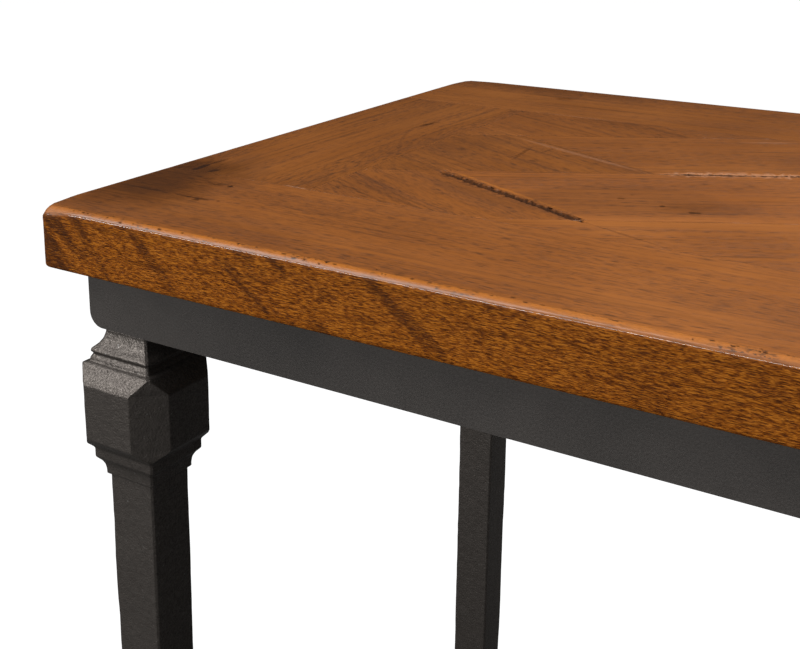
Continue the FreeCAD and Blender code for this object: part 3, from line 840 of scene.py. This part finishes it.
@dataclass
class Board:
    """One board of the top, from its outline in plan."""

    name: str
    outline: np.ndarray
    rims: list[Rim]
    top: float
    bottom: float
    wear_and_painted_light: TopWearAndPaintedLight
    finish: LacqueredWood
    slot: str
    angle: float
    seed: int
    tone: float
    replaces: str
    under_round: float = 2.0 * MM
    coarse: float = 7.0 * MM
    fine: float = 0.8 * MM
    edge_rows: tuple[float, ...] = (5.4 * MM, 6.0 * MM, 6.8 * MM, 8.0 * MM, 10.0 * MM)
    joint_rows: tuple[float, ...] = (0.35 * MM, 0.9 * MM, 2.0 * MM)
    coarse_from_edge: float = 9.5 * MM
    coarse_from_joint: float = 3.2 * MM
    fine_from_edge: float = 8.3 * MM
    fine_from_joint: float = 0.5 * MM
    least_gap: float = 0.12 * MM
    joint_step: float = 4.0 * MM
    joint_groove: float = 0.05 * MM
    seen_to: float = 760.0 * MM

    def edge_lines(self) -> list[tuple[np.ndarray, np.ndarray, Rim]]:
        """Start, inward normal and kind of each edge of the outline."""
        lines = []
        for index, rim in enumerate(self.rims):
            start = self.outline[index]
            run = self.outline[(index + 1) % len(self.outline)] - start
            lines.append((start, np.array([-run[1], run[0]]) / np.hypot(*run), rim))
        return lines

    def depth_in(self, points: np.ndarray, kind: Rim | None = None) -> np.ndarray:
        """Distance in from the outline, or from its edges of one kind.

        Args:
            points: places in plan.
            kind: edges to measure from, or all of them.

        Returns:
            A distance for each place.
        """
        depth = np.full(len(points), 1.0)
        for start, normal, rim in self.edge_lines():
            if kind is None or rim is kind:
                depth = np.minimum(depth, (points - start) @ normal)
        return depth

    def near_corner(self, points: np.ndarray) -> np.ndarray:
        """How close places are to a corner of the table, from 0 to 1.

        Args:
            points: places in plan.

        Returns:
            One number for each place.
        """
        reach = np.array([self.wear_and_painted_light.length, self.wear_and_painted_light.depth]) / 2.0
        middle = np.array([self.wear_and_painted_light.left, self.wear_and_painted_light.front]) + reach
        gap = np.hypot(*(reach - np.abs(points[:, :2] - middle)).T)
        return smooth(40.0 * MM - gap, 0.0, 36.0 * MM)

    def near_marks(self, points: np.ndarray, extra: float = 0.0) -> np.ndarray:
        """Whether each place is near a mark.

        Args:
            points: places in plan.
            extra: added reach.

        Returns:
            True or False for each place.
        """
        near = np.zeros(len(points), dtype=bool)
        for start, end, reach in self.wear_and_painted_light.fine_zones():
            run = end - start
            share = np.clip((points - start) @ run / max(float(run @ run), 1e-12), 0.0, 1.0)
            near |= np.hypot(*(points - (start + share[:, None] * run)).T) < reach + extra
        return near

    def walk(self) -> tuple[np.ndarray, np.ndarray, np.ndarray]:
        """Points round the outline.

        Returns:
            The points, their inward normals, and whether each is on an open edge.
        """
        points, normals, opens = [], [], []
        lines = self.edge_lines()
        for index, (start, normal, rim) in enumerate(lines):
            end = self.outline[(index + 1) % len(self.outline)]
            size = float(np.hypot(*(end - start)))
            steps = max(1, int(math.ceil(size / self.fine)))
            shares = np.arange(steps) / steps
            run = start + shares[:, None] * (end - start)
            near = self.near_marks(run, 1.0 * MM)
            if rim is Rim.OPEN and abs(normal[1]) > 0.9 and normal[1] > 0:
                near |= run[:, 0] < self.wear_and_painted_light.left + self.seen_to
            keep = near | (np.arange(steps) % max(1, int(self.joint_step / self.fine)) == 0)
            keep[0] = True
            for place in run[keep]:
                points.append(place)
                normals.append(normal)
                opens.append(rim is Rim.OPEN)
        points, normals, opens = np.array(points), np.array(normals), np.array(opens)
        before = np.roll(normals, 1, axis=0)
        corner = np.hypot(*(normals - before).T) > 1e-6
        joined = normals + before
        joined /= np.maximum(np.hypot(*joined.T), 1e-9)[:, None]
        both = opens & np.roll(opens, 1)
        normals[corner & both] = joined[corner & both]
        opens = opens | (corner & np.roll(opens, 1))
        normals[corner & ~both & np.roll(opens, 1)] = before[corner & ~both & np.roll(opens, 1)]
        return points, normals, opens

    def rings(self) -> tuple[list[float], list[float]]:
        """Distances in from open edges and from joints at which the mesh has a row of points."""
        turns = [math.radians(t) for t in (14, 26, 38, 50, 62, 76, 90)]
        rounding = [self.wear_and_painted_light.arris * (1.0 - math.cos(t)) for t in turns]
        return rounding + list(self.edge_rows), list(self.joint_rows)

    def top_points(self, rim_points: np.ndarray, normals: np.ndarray, opens: np.ndarray) -> np.ndarray:
        """Inner points of the top face.

        Args:
            rim_points: points round the outline.
            normals: their inward normals.
            opens: whether each is on an open edge.

        Returns:
            Points in plan.
        """
        sets = []
        for kind, distances in zip((True, False), self.rings()):
            chosen = opens == kind
            for distance in distances:
                ring = rim_points[chosen] + normals[chosen] * distance
                sets.append(ring[self.depth_in(ring) > distance - 1e-6])
        low, high = self.outline.min(0), self.outline.max(0)
        grid = self.grid(low, high, self.coarse)
        grid = grid[self.depth_in(grid, Rim.OPEN) > self.coarse_from_edge]
        sets.append(grid[(self.depth_in(grid) > self.coarse_from_joint) & ~self.near_marks(grid, 0.4 * MM)])
        for start, end, reach in self.wear_and_painted_light.fine_zones():
            first = np.maximum(np.minimum(start, end) - reach, low)
            last = np.minimum(np.maximum(start, end) + reach, high)
            if np.all(last > first):
                patch = self.grid(first, last, self.fine)
                clear = self.depth_in(patch, Rim.OPEN) > self.fine_from_edge
                patch = patch[(self.depth_in(patch) > self.fine_from_joint) & clear]
                sets.append(patch[self.near_marks(patch)])
        inner = np.concatenate([s for s in sets if len(s)])
        snapped = np.round(inner / self.least_gap).astype(np.int64)
        _, first_index = np.unique(snapped, axis=0, return_index=True)
        return inner[np.sort(first_index)]

    @staticmethod
    def grid(low: np.ndarray, high: np.ndarray, step: float) -> np.ndarray:
        """Points in rows over a rectangle, on one grid for the whole top.

        Args:
            low: lowest corner.
            high: highest corner.
            step: spacing.

        Returns:
            Points in plan.
        """
        xs = np.arange(math.ceil(low[0] / step), math.floor(high[0] / step) + 1) * step
        ys = np.arange(math.ceil(low[1] / step), math.floor(high[1] / step) + 1) * step
        across, up = np.meshgrid(xs, ys)
        across = across + (np.arange(len(ys)) % 2)[:, None] * step * 0.5
        return np.column_stack([across.ravel(), up.ravel()])

    def chips(self, points: np.ndarray, depth: np.ndarray) -> np.ndarray:
        """Small chips knocked out of the front arris.

        Args:
            points: places in plan.
            depth: distance in from the open edges.

        Returns:
            Chip depth from 0 to 1.
        """
        rng = np.random.default_rng(self.seed + 40)
        total = np.zeros(len(points))
        flat = self.wear_and_painted_light.plan(points)
        near = np.where(flat[:, 1] < 12.0)[0]
        count = int(self.wear_and_painted_light.length / self.wear_and_painted_light.chip_step)
        groups = rng.uniform(0.0, self.wear_and_painted_light.length / MM, count // 3)
        for _ in range(count):
            if rng.random() < 0.6:
                x = groups[rng.integers(len(groups))] + rng.normal(0.0, 7.0)
            else:
                x = rng.uniform(0.0, self.wear_and_painted_light.length / MM)
            inset = abs(rng.normal(4.6, 1.2))
            size = self.wear_and_painted_light.chip_size / MM * rng.uniform(0.35, 1.1)
            reach = size * np.array([rng.uniform(1.0, 2.6), rng.uniform(0.6, 1.1)])
            away = (flat[near] - np.array([x, inset])) / reach
            total[near] = np.maximum(total[near], smooth(1.0 - np.hypot(*away.T), 0.0, 0.5))
        return total * (depth < 9.0 * MM)

    def build(self) -> bpy.types.Object:
        """Make the board's mesh, its layers of use marks and painted light, and its finish.

        Returns:
            The new object.
        """
        rim_points, normals, opens = self.walk()
        count = len(rim_points)
        inner = self.top_points(rim_points, normals, opens)
        everything = np.concatenate([rim_points, inner])
        made = delaunay_2d_cdt([Vector(p) for p in everything], [], [list(range(count))], 1, 1e-8, True)
        flat = np.array([tuple(v) for v in made[0]])
        source = {given: index for index, ids in enumerate(made[3]) for given in ids}
        loop = [source[index] for index in range(count)]
        faces = [tuple(f) for f in made[2]]
        outer = self.depth_in(flat, Rim.OPEN)
        joint = self.depth_in(flat, Rim.JOINT)
        spot = np.column_stack([flat, np.full(len(flat), self.top)])
        layers = self.wear_and_painted_light.read(spot)
        radius = self.wear_and_painted_light.arris + self.wear_and_painted_light.corner_ease * self.near_corner(flat)
        bend = np.clip(radius - outer, 0.0, radius)
        drop = radius - np.sqrt(np.maximum(radius ** 2 - bend ** 2, 0.0))
        front = smooth(self.wear_and_painted_light.plan(flat)[:, 1], 60.0, 10.0)
        chip = self.chips(flat, outer) * front if opens.any() else np.zeros(len(flat))
        wave = np.abs(lattice_noise(spot, 45.0 * MM, 31)) * 0.10 * MM * smooth(outer, 0.0, 10.0 * MM)
        groove = self.joint_groove * smooth(0.7 * MM - joint, 0.0, 0.7 * MM)
        sink = drop + wave + groove + layers["depth"] + chip * 0.30 * MM
        vertices = [np.array([x, y, self.top - s]) for (x, y), s in zip(flat, sink)]
        ease = smooth(9.0 * MM - outer, 0.0, 7.0 * MM) * (0.6 + 0.4 * lattice_noise(spot, 14.0 * MM, 33))
        rub = smooth(6.4 * MM - outer, 0.0, 1.8 * MM) * smooth(outer, 0.7 * MM, 1.8 * MM) * np.clip(
            0.85 + 0.5 * lattice_noise(spot, 8.0 * MM, 34), 0.0, 1.0)
        data = {
            "dark": np.maximum(np.maximum(layers["dark"] * (1.0 - 0.4 * ease), chip),
                               0.30 * smooth(0.8 * MM - joint, 0.0, 0.6 * MM)),
            "pale": layers["pale"],
            # the rubbed band along the front arris; the same layer holds the painted highlight of one
            # groove's lip
            "worn": np.maximum(layers["worn"], rub * front),
            "side": smooth(0.9 * MM - outer, 0.0, 0.9 * MM),
        }
        extra = self.walls(vertices, faces, loop, rim_points, normals, opens)
        for key, values in extra.items():
            data[key] = np.concatenate([data[key], values])
        piece = new_piece(self.name, np.array(vertices), faces)
        store(piece, data)
        piece.data.materials.append(self.finish.make("wood_" + self.name, self.angle, self.seed, self.tone))
        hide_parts(self.replaces)
        return piece

    def walls(self, vertices: list[np.ndarray], faces: list[tuple[int, ...]], loop: list[int],
              rim_points: np.ndarray, normals: np.ndarray, opens: np.ndarray) -> dict[str, np.ndarray]:
        """Add the upright sides and the underside.

        Args:
            vertices: corners so far, added to here.
            faces: faces so far, added to here.
            loop: corner numbers round the top face.
            rim_points: points round the outline.
            normals: their inward normals.
            opens: whether each is on an open edge.

        Returns:
            Layers of use marks and painted light for the new corners.
        """
        count = len(loop)
        any_open = bool(opens.any())
        levels = 14 if any_open else 2
        rows: list[tuple[float, float, float]] = []
        for level in range(1, levels + 1):
            rows.append((level / levels, 0.0, 0.0))
        if any_open:
            for turn in (30.0, 60.0, 90.0):
                angle = math.radians(turn)
                tuck = self.under_round * (1.0 - math.cos(angle))
                rows.append((1.0, self.under_round * math.sin(angle), tuck))
        start_z = np.array([vertices[index][2] for index in loop])
        low = self.bottom + (self.under_round if any_open else 0.0)
        previous = loop
        side: list[np.ndarray] = []
        for share, down, inset in rows:
            base_z = start_z + share * (low - start_z) - down
            step_in = normals * np.where(opens, inset, 0.0)[:, None]
            places = np.column_stack([rim_points + step_in, base_z])
            if any_open:
                dent = np.abs(lattice_noise(places, 24.0 * MM, 51)) * 0.16 * MM + np.clip(
                    lattice_noise(places, 5.0 * MM, 52), 0.0, 1.0) * 0.07 * MM
                share_in = 1.0 if down == 0.0 else 0.3
                places[:, :2] += normals * (np.where(opens, dent, 0.0) * share_in)[:, None]
            first = len(vertices)
            vertices.extend(places)
            current = list(range(first, first + count))
            for index in range(count):
                after = (index + 1) % count
                faces.append((previous[index], current[index], current[after], previous[after]))
            previous = current
            side.append(np.where(opens, 1.0, 0.0))
        under = delaunay_2d_cdt([Vector(vertices[index][:2]) for index in previous], [],
                                [list(range(count))], 1, 1e-9, True)
        given = [ids[0] for ids in under[3]]
        faces.extend(tuple(previous[given[corner]] for corner in reversed(face)) for face in under[2])
        total = np.concatenate(side)
        zeros = np.zeros(len(total))
        return {"dark": zeros, "pale": zeros, "worn": zeros, "side": total}


@dataclass
class WoodenTop:
    """The board frame and the herringbone inlay."""

    finish: LacqueredWood = field(default_factory=LacqueredWood)
    corner_round: float = 9.0 * MM
    corner_steps: int = 9
    rise_angle: float = math.atan(0.56)
    fall_angle: float = -math.atan(0.49)
    tones: dict[str, float] = field(default_factory=lambda: {
        "wedge_front": 0.86, "wedge_back": 0.96,
        "short_front": 1.0, "short_middle": 0.90, "short_back": 0.97,
        "long_corner": 0.94, "long_back": 0.99, "long_middle": 1.10, "long_front": 1.03, "long_tip": 0.95})

    def __post_init__(self) -> None:
        """Read the places of the boards from the CAD model."""
        front_low, front_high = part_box("top_front_rail")
        back_low, back_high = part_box("top_back_rail")
        self.low = Vector((front_low.x, front_low.y, front_low.z))
        self.high = Vector((front_high.x, back_high.y, front_high.z))
        self.panel_front = front_high.y
        self.panel_back = back_low.y
        self.panel_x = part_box("top_right_end_board")[0].x
        self.wear_and_painted_light = TopWearAndPaintedLight(self.low.x, self.low.y, self.high.x - self.low.x, self.high.y - self.low.y)

    def rounded(self, corner: tuple[float, float], start: float) -> list[tuple[float, float]]:
        """Points of a rounded plan corner.

        Args:
            corner: the sharp corner.
            start: direction in degrees from the arc's centre to its first point.

        Returns:
            Points anticlockwise.
        """
        radius = self.corner_round
        inward = (radius if corner[0] < 0 else -radius, radius if corner[1] < 0 else -radius)
        centre = (corner[0] + inward[0], corner[1] + inward[1])
        steps = range(self.corner_steps + 1)
        turns = [math.radians(start + 90.0 * step / self.corner_steps) for step in steps]
        return [(centre[0] + radius * math.cos(t), centre[1] + radius * math.sin(t)) for t in turns]

    def frame_boards(self) -> list[Board]:
        """The two rails and the two end boards."""
        low, high = self.low, self.high
        front = [(high.x, self.panel_front), (low.x, self.panel_front)]
        front += self.rounded((low.x, low.y), 180.0) + self.rounded((high.x, low.y), 270.0)
        back = [(low.x, self.panel_back), (high.x, self.panel_back)]
        back += self.rounded((high.x, high.y), 0.0) + self.rounded((low.x, high.y), 90.0)
        left = [(low.x, self.panel_front), (-self.panel_x, self.panel_front),
                (-self.panel_x, self.panel_back), (low.x, self.panel_back)]
        right = [(self.panel_x, self.panel_front), (high.x, self.panel_front),
                 (high.x, self.panel_back), (self.panel_x, self.panel_back)]
        joint, free = Rim.JOINT, Rim.OPEN
        plans = (
            ("front_rail", front, [joint] + [free] * (len(front) - 1), 0.0, 1.02),
            ("back_rail", back, [joint] + [free] * (len(back) - 1), 0.0, 0.93),
            ("left_end_board", left, [joint, joint, joint, free], math.pi / 2.0, 0.92),
            ("right_end_board", right, [joint, free, joint, joint], math.pi / 2.0, 0.99),
        )
        return [Board(name, np.array(outline), rims, high.z, low.z, self.wear_and_painted_light, self.finish, "frame_wood",
                      angle, index + 1, tone, "top_" + name)
                for index, (name, outline, rims, angle, tone) in enumerate(plans)]

    def inlay_boards(self) -> list[Board]:
        """The herringbone boards of both halves."""
        boards = []
        upper = self.high.z - 0.1 * MM
        for index, (row, tone) in enumerate(self.tones.items()):
            for side, turn in (("left", 1.0), ("right", -1.0)):
                node = f"inlay_{side}_{row}"
                corners = [v.co for v in frame["nodes"][node].data.vertices if v.co.z > upper]
                order = convex_hull_2d([Vector((c.x, c.y)) for c in corners])
                outline = np.array([(corners[i].x, corners[i].y) for i in order])
                outline = self.tidy(outline)
                angle = self.rise_angle if row.startswith("long") else self.fall_angle
                shade = tone if side == "left" else 0.5 + 0.5 * tone + 0.03 * math.sin(3.1 * index)
                boards.append(Board(f"herringbone_{side}_{row}", outline, [Rim.JOINT] * len(outline),
                                    self.high.z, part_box(node)[0].z, self.wear_and_painted_light, self.finish, "inlay_wood",
                                    turn * angle, 11 + 2 * index + (side == "right"), shade, node))
        return boards

    @staticmethod
    def tidy(outline: np.ndarray) -> np.ndarray:
        """Drop doubled corners and corners in the middle of a straight edge, and go anticlockwise.

        Args:
            outline: corners in plan.

        Returns:
            The corners that are left.
        """
        kept = [p for i, p in enumerate(outline) if np.hypot(*(p - outline[i - 1])) > 0.05 * MM]
        result = []
        for i, p in enumerate(kept):
            before, after = p - kept[i - 1], kept[(i + 1) % len(kept)] - p
            cross = before[0] * after[1] - before[1] * after[0]
            if abs(cross) > 1e-4 * np.hypot(*before) * np.hypot(*after):
                result.append(p)
        points = np.array(result)
        x, y = points.T
        area = float(np.sum(x * np.roll(y, -1) - np.roll(x, -1) * y))
        return points if area > 0.0 else points[::-1]

    def build(self) -> None:
        """Make every board."""
        for board in self.frame_boards() + self.inlay_boards():
            piece = board.build()
            LOG.info("%s: %d corners", piece.name, len(piece.data.vertices))


# ---------------------------------------------------------------- legs

@dataclass
class CastLeg:
    """One cast-iron leg, turned out of square sections from apron to glide."""

    node: str
    name: str
    seed: int
    finish: bpy.types.Material
    block: float = 81.2
    chamfer: float = 19.7
    soften: float = 0.7
    ring_flat: int = 15
    ring_corner: int = 7
    corner_ease: float = 1.5
    arris_ease: float = 0.9
    step: float = 0.4
    row_gap: float = 7.0
    row_close: float = 0.8
    least_bend: float = 2e-6
    levels: tuple[tuple[float, float], ...] = (
        (0.0, 38.0), (2.0, 38.0), (7.0, 41.2), (10.5, 45.8), (14.2, 54.4), (15.8, 54.4),
        (16.4, 51.6), (17.4, 51.2), (20.4, 55.0), (21.6, 55.2), (22.2, 54.8), (23.2, 61.5),
        (35.0, 81.2), (77.0, 81.2), (86.0, 61.5), (89.2, 55.4), (96.5, 55.4), (100.0, 48.5), (103.0, 45.8),
        (107.4, 44.6), (110.6, 44.6), (110.7, 40.2))
    foot: tuple[tuple[float, float], ...] = (
        (66.0, 38.3), (60.0, 40.4), (54.0, 44.5), (46.0, 48.0), (45.9, 51.0), (38.0, 54.0),
        (3.0, 54.0), (0.0, 48.0))

    def profile(self) -> np.ndarray:
        """Height and half width down the leg, softened as a casting is.

        Returns:
            Rows of height above the floor and half width, in metres, from the top down.
        """
        low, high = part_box(self.node)
        rows = [(high.z - drop * MM, width * MM / 2.0) for drop, width in self.levels]
        rows += [(low.z + rise * MM, width * MM / 2.0) for rise, width in self.foot]
        points = np.array(rows)
        runs = np.concatenate([[0.0], np.cumsum(np.hypot(*np.diff(points, axis=0).T))])
        places = np.arange(0.0, runs[-1], self.step * MM)
        dense = np.column_stack([np.interp(places, runs, points[:, column]) for column in (0, 1)])
        reach = int(3.0 * self.soften / self.step)
        weights = np.exp(-0.5 * (np.arange(-reach, reach + 1) * self.step / self.soften) ** 2)
        weights /= weights.sum()
        padded = np.vstack([np.repeat(dense[:1], reach, 0), dense, np.repeat(dense[-1:], reach, 0)])
        soft = np.column_stack([np.convolve(padded[:, column], weights, "valid") for column in (0, 1)])
        soft[0], soft[-1] = dense[0], points[-1]
        bend = np.abs(np.gradient(np.gradient(soft[:, 1]))) + 1e-9
        keep = [0]
        for index in range(1, len(soft)):
            gap = (index - keep[-1]) * self.step
            bent = max(bend[index], bend[keep[-1]]) > self.least_bend
            if gap >= self.row_gap or (gap >= self.row_close and bent):
                keep.append(index)
        keep.append(len(soft) - 1)
        return soft[sorted(set(keep))]

    def ring(self, half: float) -> np.ndarray:
        """Corner-cut square section.

        Args:
            half: half width.

        Returns:
            Points anticlockwise in plan.
        """
        cut = max(2.0 * half - (self.block - self.chamfer) * MM, self.corner_ease * MM)
        flat = half - cut
        on_flat = self.shares(2.0 * flat, self.ring_flat)
        on_cut = self.shares(cut * math.sqrt(2.0), self.ring_corner)
        points = []
        for quarter in range(4):
            turn = math.pi / 2.0 * quarter
            points += [(half, -flat + 2.0 * flat * share, turn) for share in on_flat]
            points += [(half - cut * share, flat + cut * share, turn) for share in on_cut]
        return np.array([(x * math.cos(t) - y * math.sin(t), x * math.sin(t) + y * math.cos(t))
                         for x, y, t in points])

    def shares(self, size: float, steps: int) -> list[float]:
        """Places along a straight run, with one close to each end so that its arrises stay crisp.

        Args:
            size: length of the run.
            steps: number of places.

        Returns:
            Shares of the length, from 0 up to but not including 1.
        """
        near = min(self.arris_ease * MM / size, 0.2)
        middle = [near + (1.0 - 2.0 * near) * step / (steps - 2) for step in range(steps - 1)]
        return [0.0] + middle

    def build(self) -> bpy.types.Object:
        """Make the leg with its lumps and pits.

        Returns:
            The new object.
        """
        low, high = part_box(self.node)
        centre = np.array([(low.x + high.x) / 2.0, (low.y + high.y) / 2.0])
        profile = self.profile()
        rings = [self.ring(half) for _, half in profile]
        size = len(rings[0])
        places = np.vstack([np.column_stack([ring + centre, np.full(size, z)])
                            for ring, (z, _) in zip(rings, profile)])
        out = np.vstack([ring / np.maximum(np.hypot(*ring.T), 1e-9)[:, None] for ring in rings])
        width = np.repeat(profile[:, 1], size)
        sway = 0.55 * lattice_noise(places, 70.0 * MM, self.seed)
        sway += 0.35 * lattice_noise(places, 26.0 * MM, self.seed + 1)
        lump = 0.16 * lattice_noise(places, 7.0 * MM, self.seed + 2)
        lump += 0.10 * lattice_noise(places, 3.0 * MM, self.seed + 3)
        ends = smooth(np.minimum(high.z - places[:, 2], places[:, 2] - low.z), 0.0, 6.0 * MM)
        on_block = width > 0.5 * self.block * MM - 1.0 * MM
        inside = np.where(on_block, np.minimum(sway, 0.0) * 0.6 - 0.1, sway * 0.8)
        places[:, :2] += out * ((inside + lump) * ends * MM)[:, None]
        faces = []
        for level in range(len(rings) - 1):
            for index in range(size):
                after = (index + 1) % size
                a, b = level * size + index, level * size + after
                faces.append((a, a + size, b + size, b))
        faces.append(tuple(range(size)))
        faces.append(tuple(reversed(range((len(rings) - 1) * size, len(rings) * size))))
        piece = new_piece(self.name, places, faces)
        piece.data.materials.append(self.finish)
        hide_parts(self.node)
        return piece


# ---------------------------------------------------------------- pieces that keep their CAD shape

@dataclass
class CarriedParts:
    """CAD nodes that keep their shape and get softened edges and a finish."""

    edge_ease: dict[str, float] = field(default_factory=lambda: {
        "apron": 0.7, "flange": 0.4, "cross_rail": 0.5, "leg_plate": 0.5, "batten": 0.8})
    coats: dict[str, bpy.types.Material] = field(default_factory=dict)

    def __post_init__(self) -> None:
        """Mix the finishes."""
        quarter = math.pi / 2.0
        self.coats = {
            "apron_steel": PowderCoat().make("charcoal_powder_coat"),
            "fastener_steel": ZincSteel().make("zinc_plate"),
            "glide_nylon": MouldedNylon().make("black_nylon"),
            "plywood": RawTimber((0.42, 0.27, 0.14), (0.62, 0.44, 0.26)).make("plywood_face"),
            "batten_wood": RawTimber((0.52, 0.35, 0.18), (0.74, 0.57, 0.35), quarter).make("raw_batten"),
            "dowel_wood": RawTimber((0.58, 0.42, 0.25), (0.76, 0.60, 0.41), quarter).make("beech_dowel"),
        }

    def build(self) -> None:
        """Dress every CAD node that is still shown."""
        slots = {part["node"]: part["material_slot"] for part in frame["record"]["subparts"]}
        for name, node in frame["nodes"].items():
            if node.hide_render:
                continue
            node.data.materials.clear()
            node.data.materials.append(self.coats[slots[name]])
            ease = next((size for key, size in self.edge_ease.items() if name.startswith(key)), 0.0)
            if ease and not name.endswith(("screws", "washers")):
                self.soften(node, ease * MM)
            LOG.info("%s: %s", name, slots[name])

    @staticmethod
    def soften(node: bpy.types.Object, size: float) -> None:
        """Ease the sharp edges of a CAD node.

        Args:
            node: CAD object.
            size: width of the eased edge.
        """
        weld = node.modifiers.new("weld", "WELD")
        weld.merge_threshold = 0.01 * MM
        bevel = node.modifiers.new("eased_edges", "BEVEL")
        bevel.width = size
        bevel.segments = 3
        bevel.limit_method = "ANGLE"
        bevel.angle_limit = math.radians(35.0)
        bevel.harden_normals = True


# ---------------------------------------------------------------- studio

@dataclass(frozen=True)
class SoftBox:
    """One soft studio light."""

    name: str
    place: tuple[float, float, float]
    aim: tuple[float, float, float]
    size: tuple[float, float]
    power: float
    colour: Colour = (1.0, 1.0, 1.0)

    def build(self) -> None:
        """Hang the light and turn it to its aim."""
        data = bpy.data.lights.new(self.name, "AREA")
        data.shape = "RECTANGLE"
        data.size, data.size_y = self.size
        data.energy = self.power
        data.color = self.colour
        lamp = bpy.data.objects.new(self.name, data)
        lamp.location = self.place
        lamp.rotation_euler = (Vector(self.aim) - Vector(self.place)).to_track_quat("-Z", "Y").to_euler()
        bpy.context.scene.collection.objects.link(lamp)


@dataclass
class Studio:
    """Floor, lights, sky and camera."""

    floor_size: float = 80.0
    floor_shade: float = 0.10
    floor_glow: float = 1.0
    sky: float = 0.020
    backdrop: float = 1.0
    boxes: tuple[SoftBox, ...] = (
        SoftBox("key_box", (-2.1, -1.5, 2.9), (-0.4, 0.0, 0.75), (2.0, 2.0), 66.0),
        SoftBox("top_box", (0.95, 0.2, 2.7), (0.35, -0.1, 0.7), (1.8, 1.8), 92.0),
        SoftBox("back_box", (-0.1, 2.6, 1.9), (0.0, -0.2, 0.75), (0.9, 0.6), 1.0),
        SoftBox("front_strip", (-1.5, -3.3, 1.85), (-0.4, -0.3, 0.7), (4.4, 0.16), 100.0),
    )
    camera_place: tuple[float, float, float] = (-0.0739, -0.8767, 0.9844)
    camera_turn: tuple[float, float, float] = (74.75, 0.23, 34.26)
    lens: float = 56.02
    shift: tuple[float, float] = (0.0935, -0.1490)

    def build(self) -> None:
        """Set up the floor, the lights and the camera."""
        scene = bpy.context.scene
        scene.view_settings.view_transform = "Standard"
        scene.view_settings.look = "None"
        for box in self.boxes:
            box.build()
        self.build_floor()
        self.build_sky()
        data = bpy.data.cameras.new("camera")
        data.lens = self.lens
        data.sensor_width = 36.0
        data.shift_x, data.shift_y = self.shift
        data.clip_start, data.clip_end = 0.05, 200.0
        camera = bpy.data.objects.new("camera", data)
        camera.location = self.camera_place
        camera.rotation_euler = Euler([math.radians(angle) for angle in self.camera_turn], "XYZ")
        scene.collection.objects.link(camera)
        scene.camera = camera

    def build_floor(self) -> None:
        """Lay the plain pale floor."""
        half = self.floor_size / 2.0
        mesh = bpy.data.meshes.new("studio_floor")
        corners = [(-half, -half, 0.0), (half, -half, 0.0), (half, half, 0.0), (-half, half, 0.0)]
        mesh.from_pydata(corners, [], [(0, 1, 2, 3)])
        floor = bpy.data.objects.new("studio_floor", mesh)
        bpy.context.scene.collection.objects.link(floor)
        bench = Bench("studio_floor")
        shade = self.floor_shade
        bench.shader.inputs["Base Color"].default_value = (shade, shade, shade, 1.0)
        bench.shader.inputs["Emission Color"].default_value = (1.0, 1.0, 1.0, 1.0)
        seen = bench.tree.nodes.new("ShaderNodeLightPath").outputs["Is Camera Ray"]
        bench.wire(bench.times(seen, self.floor_glow), bench.shader.inputs["Emission Strength"])
        bench.shader.inputs["Roughness"].default_value = 0.9
        bench.shader.inputs["Specular IOR Level"].default_value = 0.1
        mesh.materials.append(bench.material)

    def build_sky(self) -> None:
        """Pale backdrop, with a little even light from all round."""
        world = bpy.data.worlds.new("studio")
        bpy.context.scene.world = world
        world.use_nodes = True
        sky = world.node_tree.nodes["Background"]
        sky.inputs["Color"].default_value = (1.0, 1.0, 1.0, 1.0)
        seen = world.node_tree.nodes.new("ShaderNodeLightPath")
        share = world.node_tree.nodes.new("ShaderNodeMapRange")
        share.inputs["To Min"].default_value = self.sky
        share.inputs["To Max"].default_value = self.backdrop
        world.node_tree.links.new(seen.outputs["Is Camera Ray"], share.inputs["Value"])
        world.node_tree.links.new(share.outputs["Result"], sky.inputs["Strength"])


def main() -> None:
    """Build the studio and every piece, and report each one."""
    logging.basicConfig(level=logging.INFO, format="%(name)s: %(message)s")
    Studio().build()
    WoodenTop().build()
    iron = CastIron().make("waxed_cast_iron")
    for index, corner in enumerate(("front_left", "front_right", "back_left", "back_right")):
        leg = CastLeg("leg_" + corner, "cast_leg_" + corner, 100 + 10 * index, iron).build()
        LOG.info("%s: %d corners", leg.name, len(leg.data.vertices))
    CarriedParts().build()


if __name__ == "__main__":
    main()
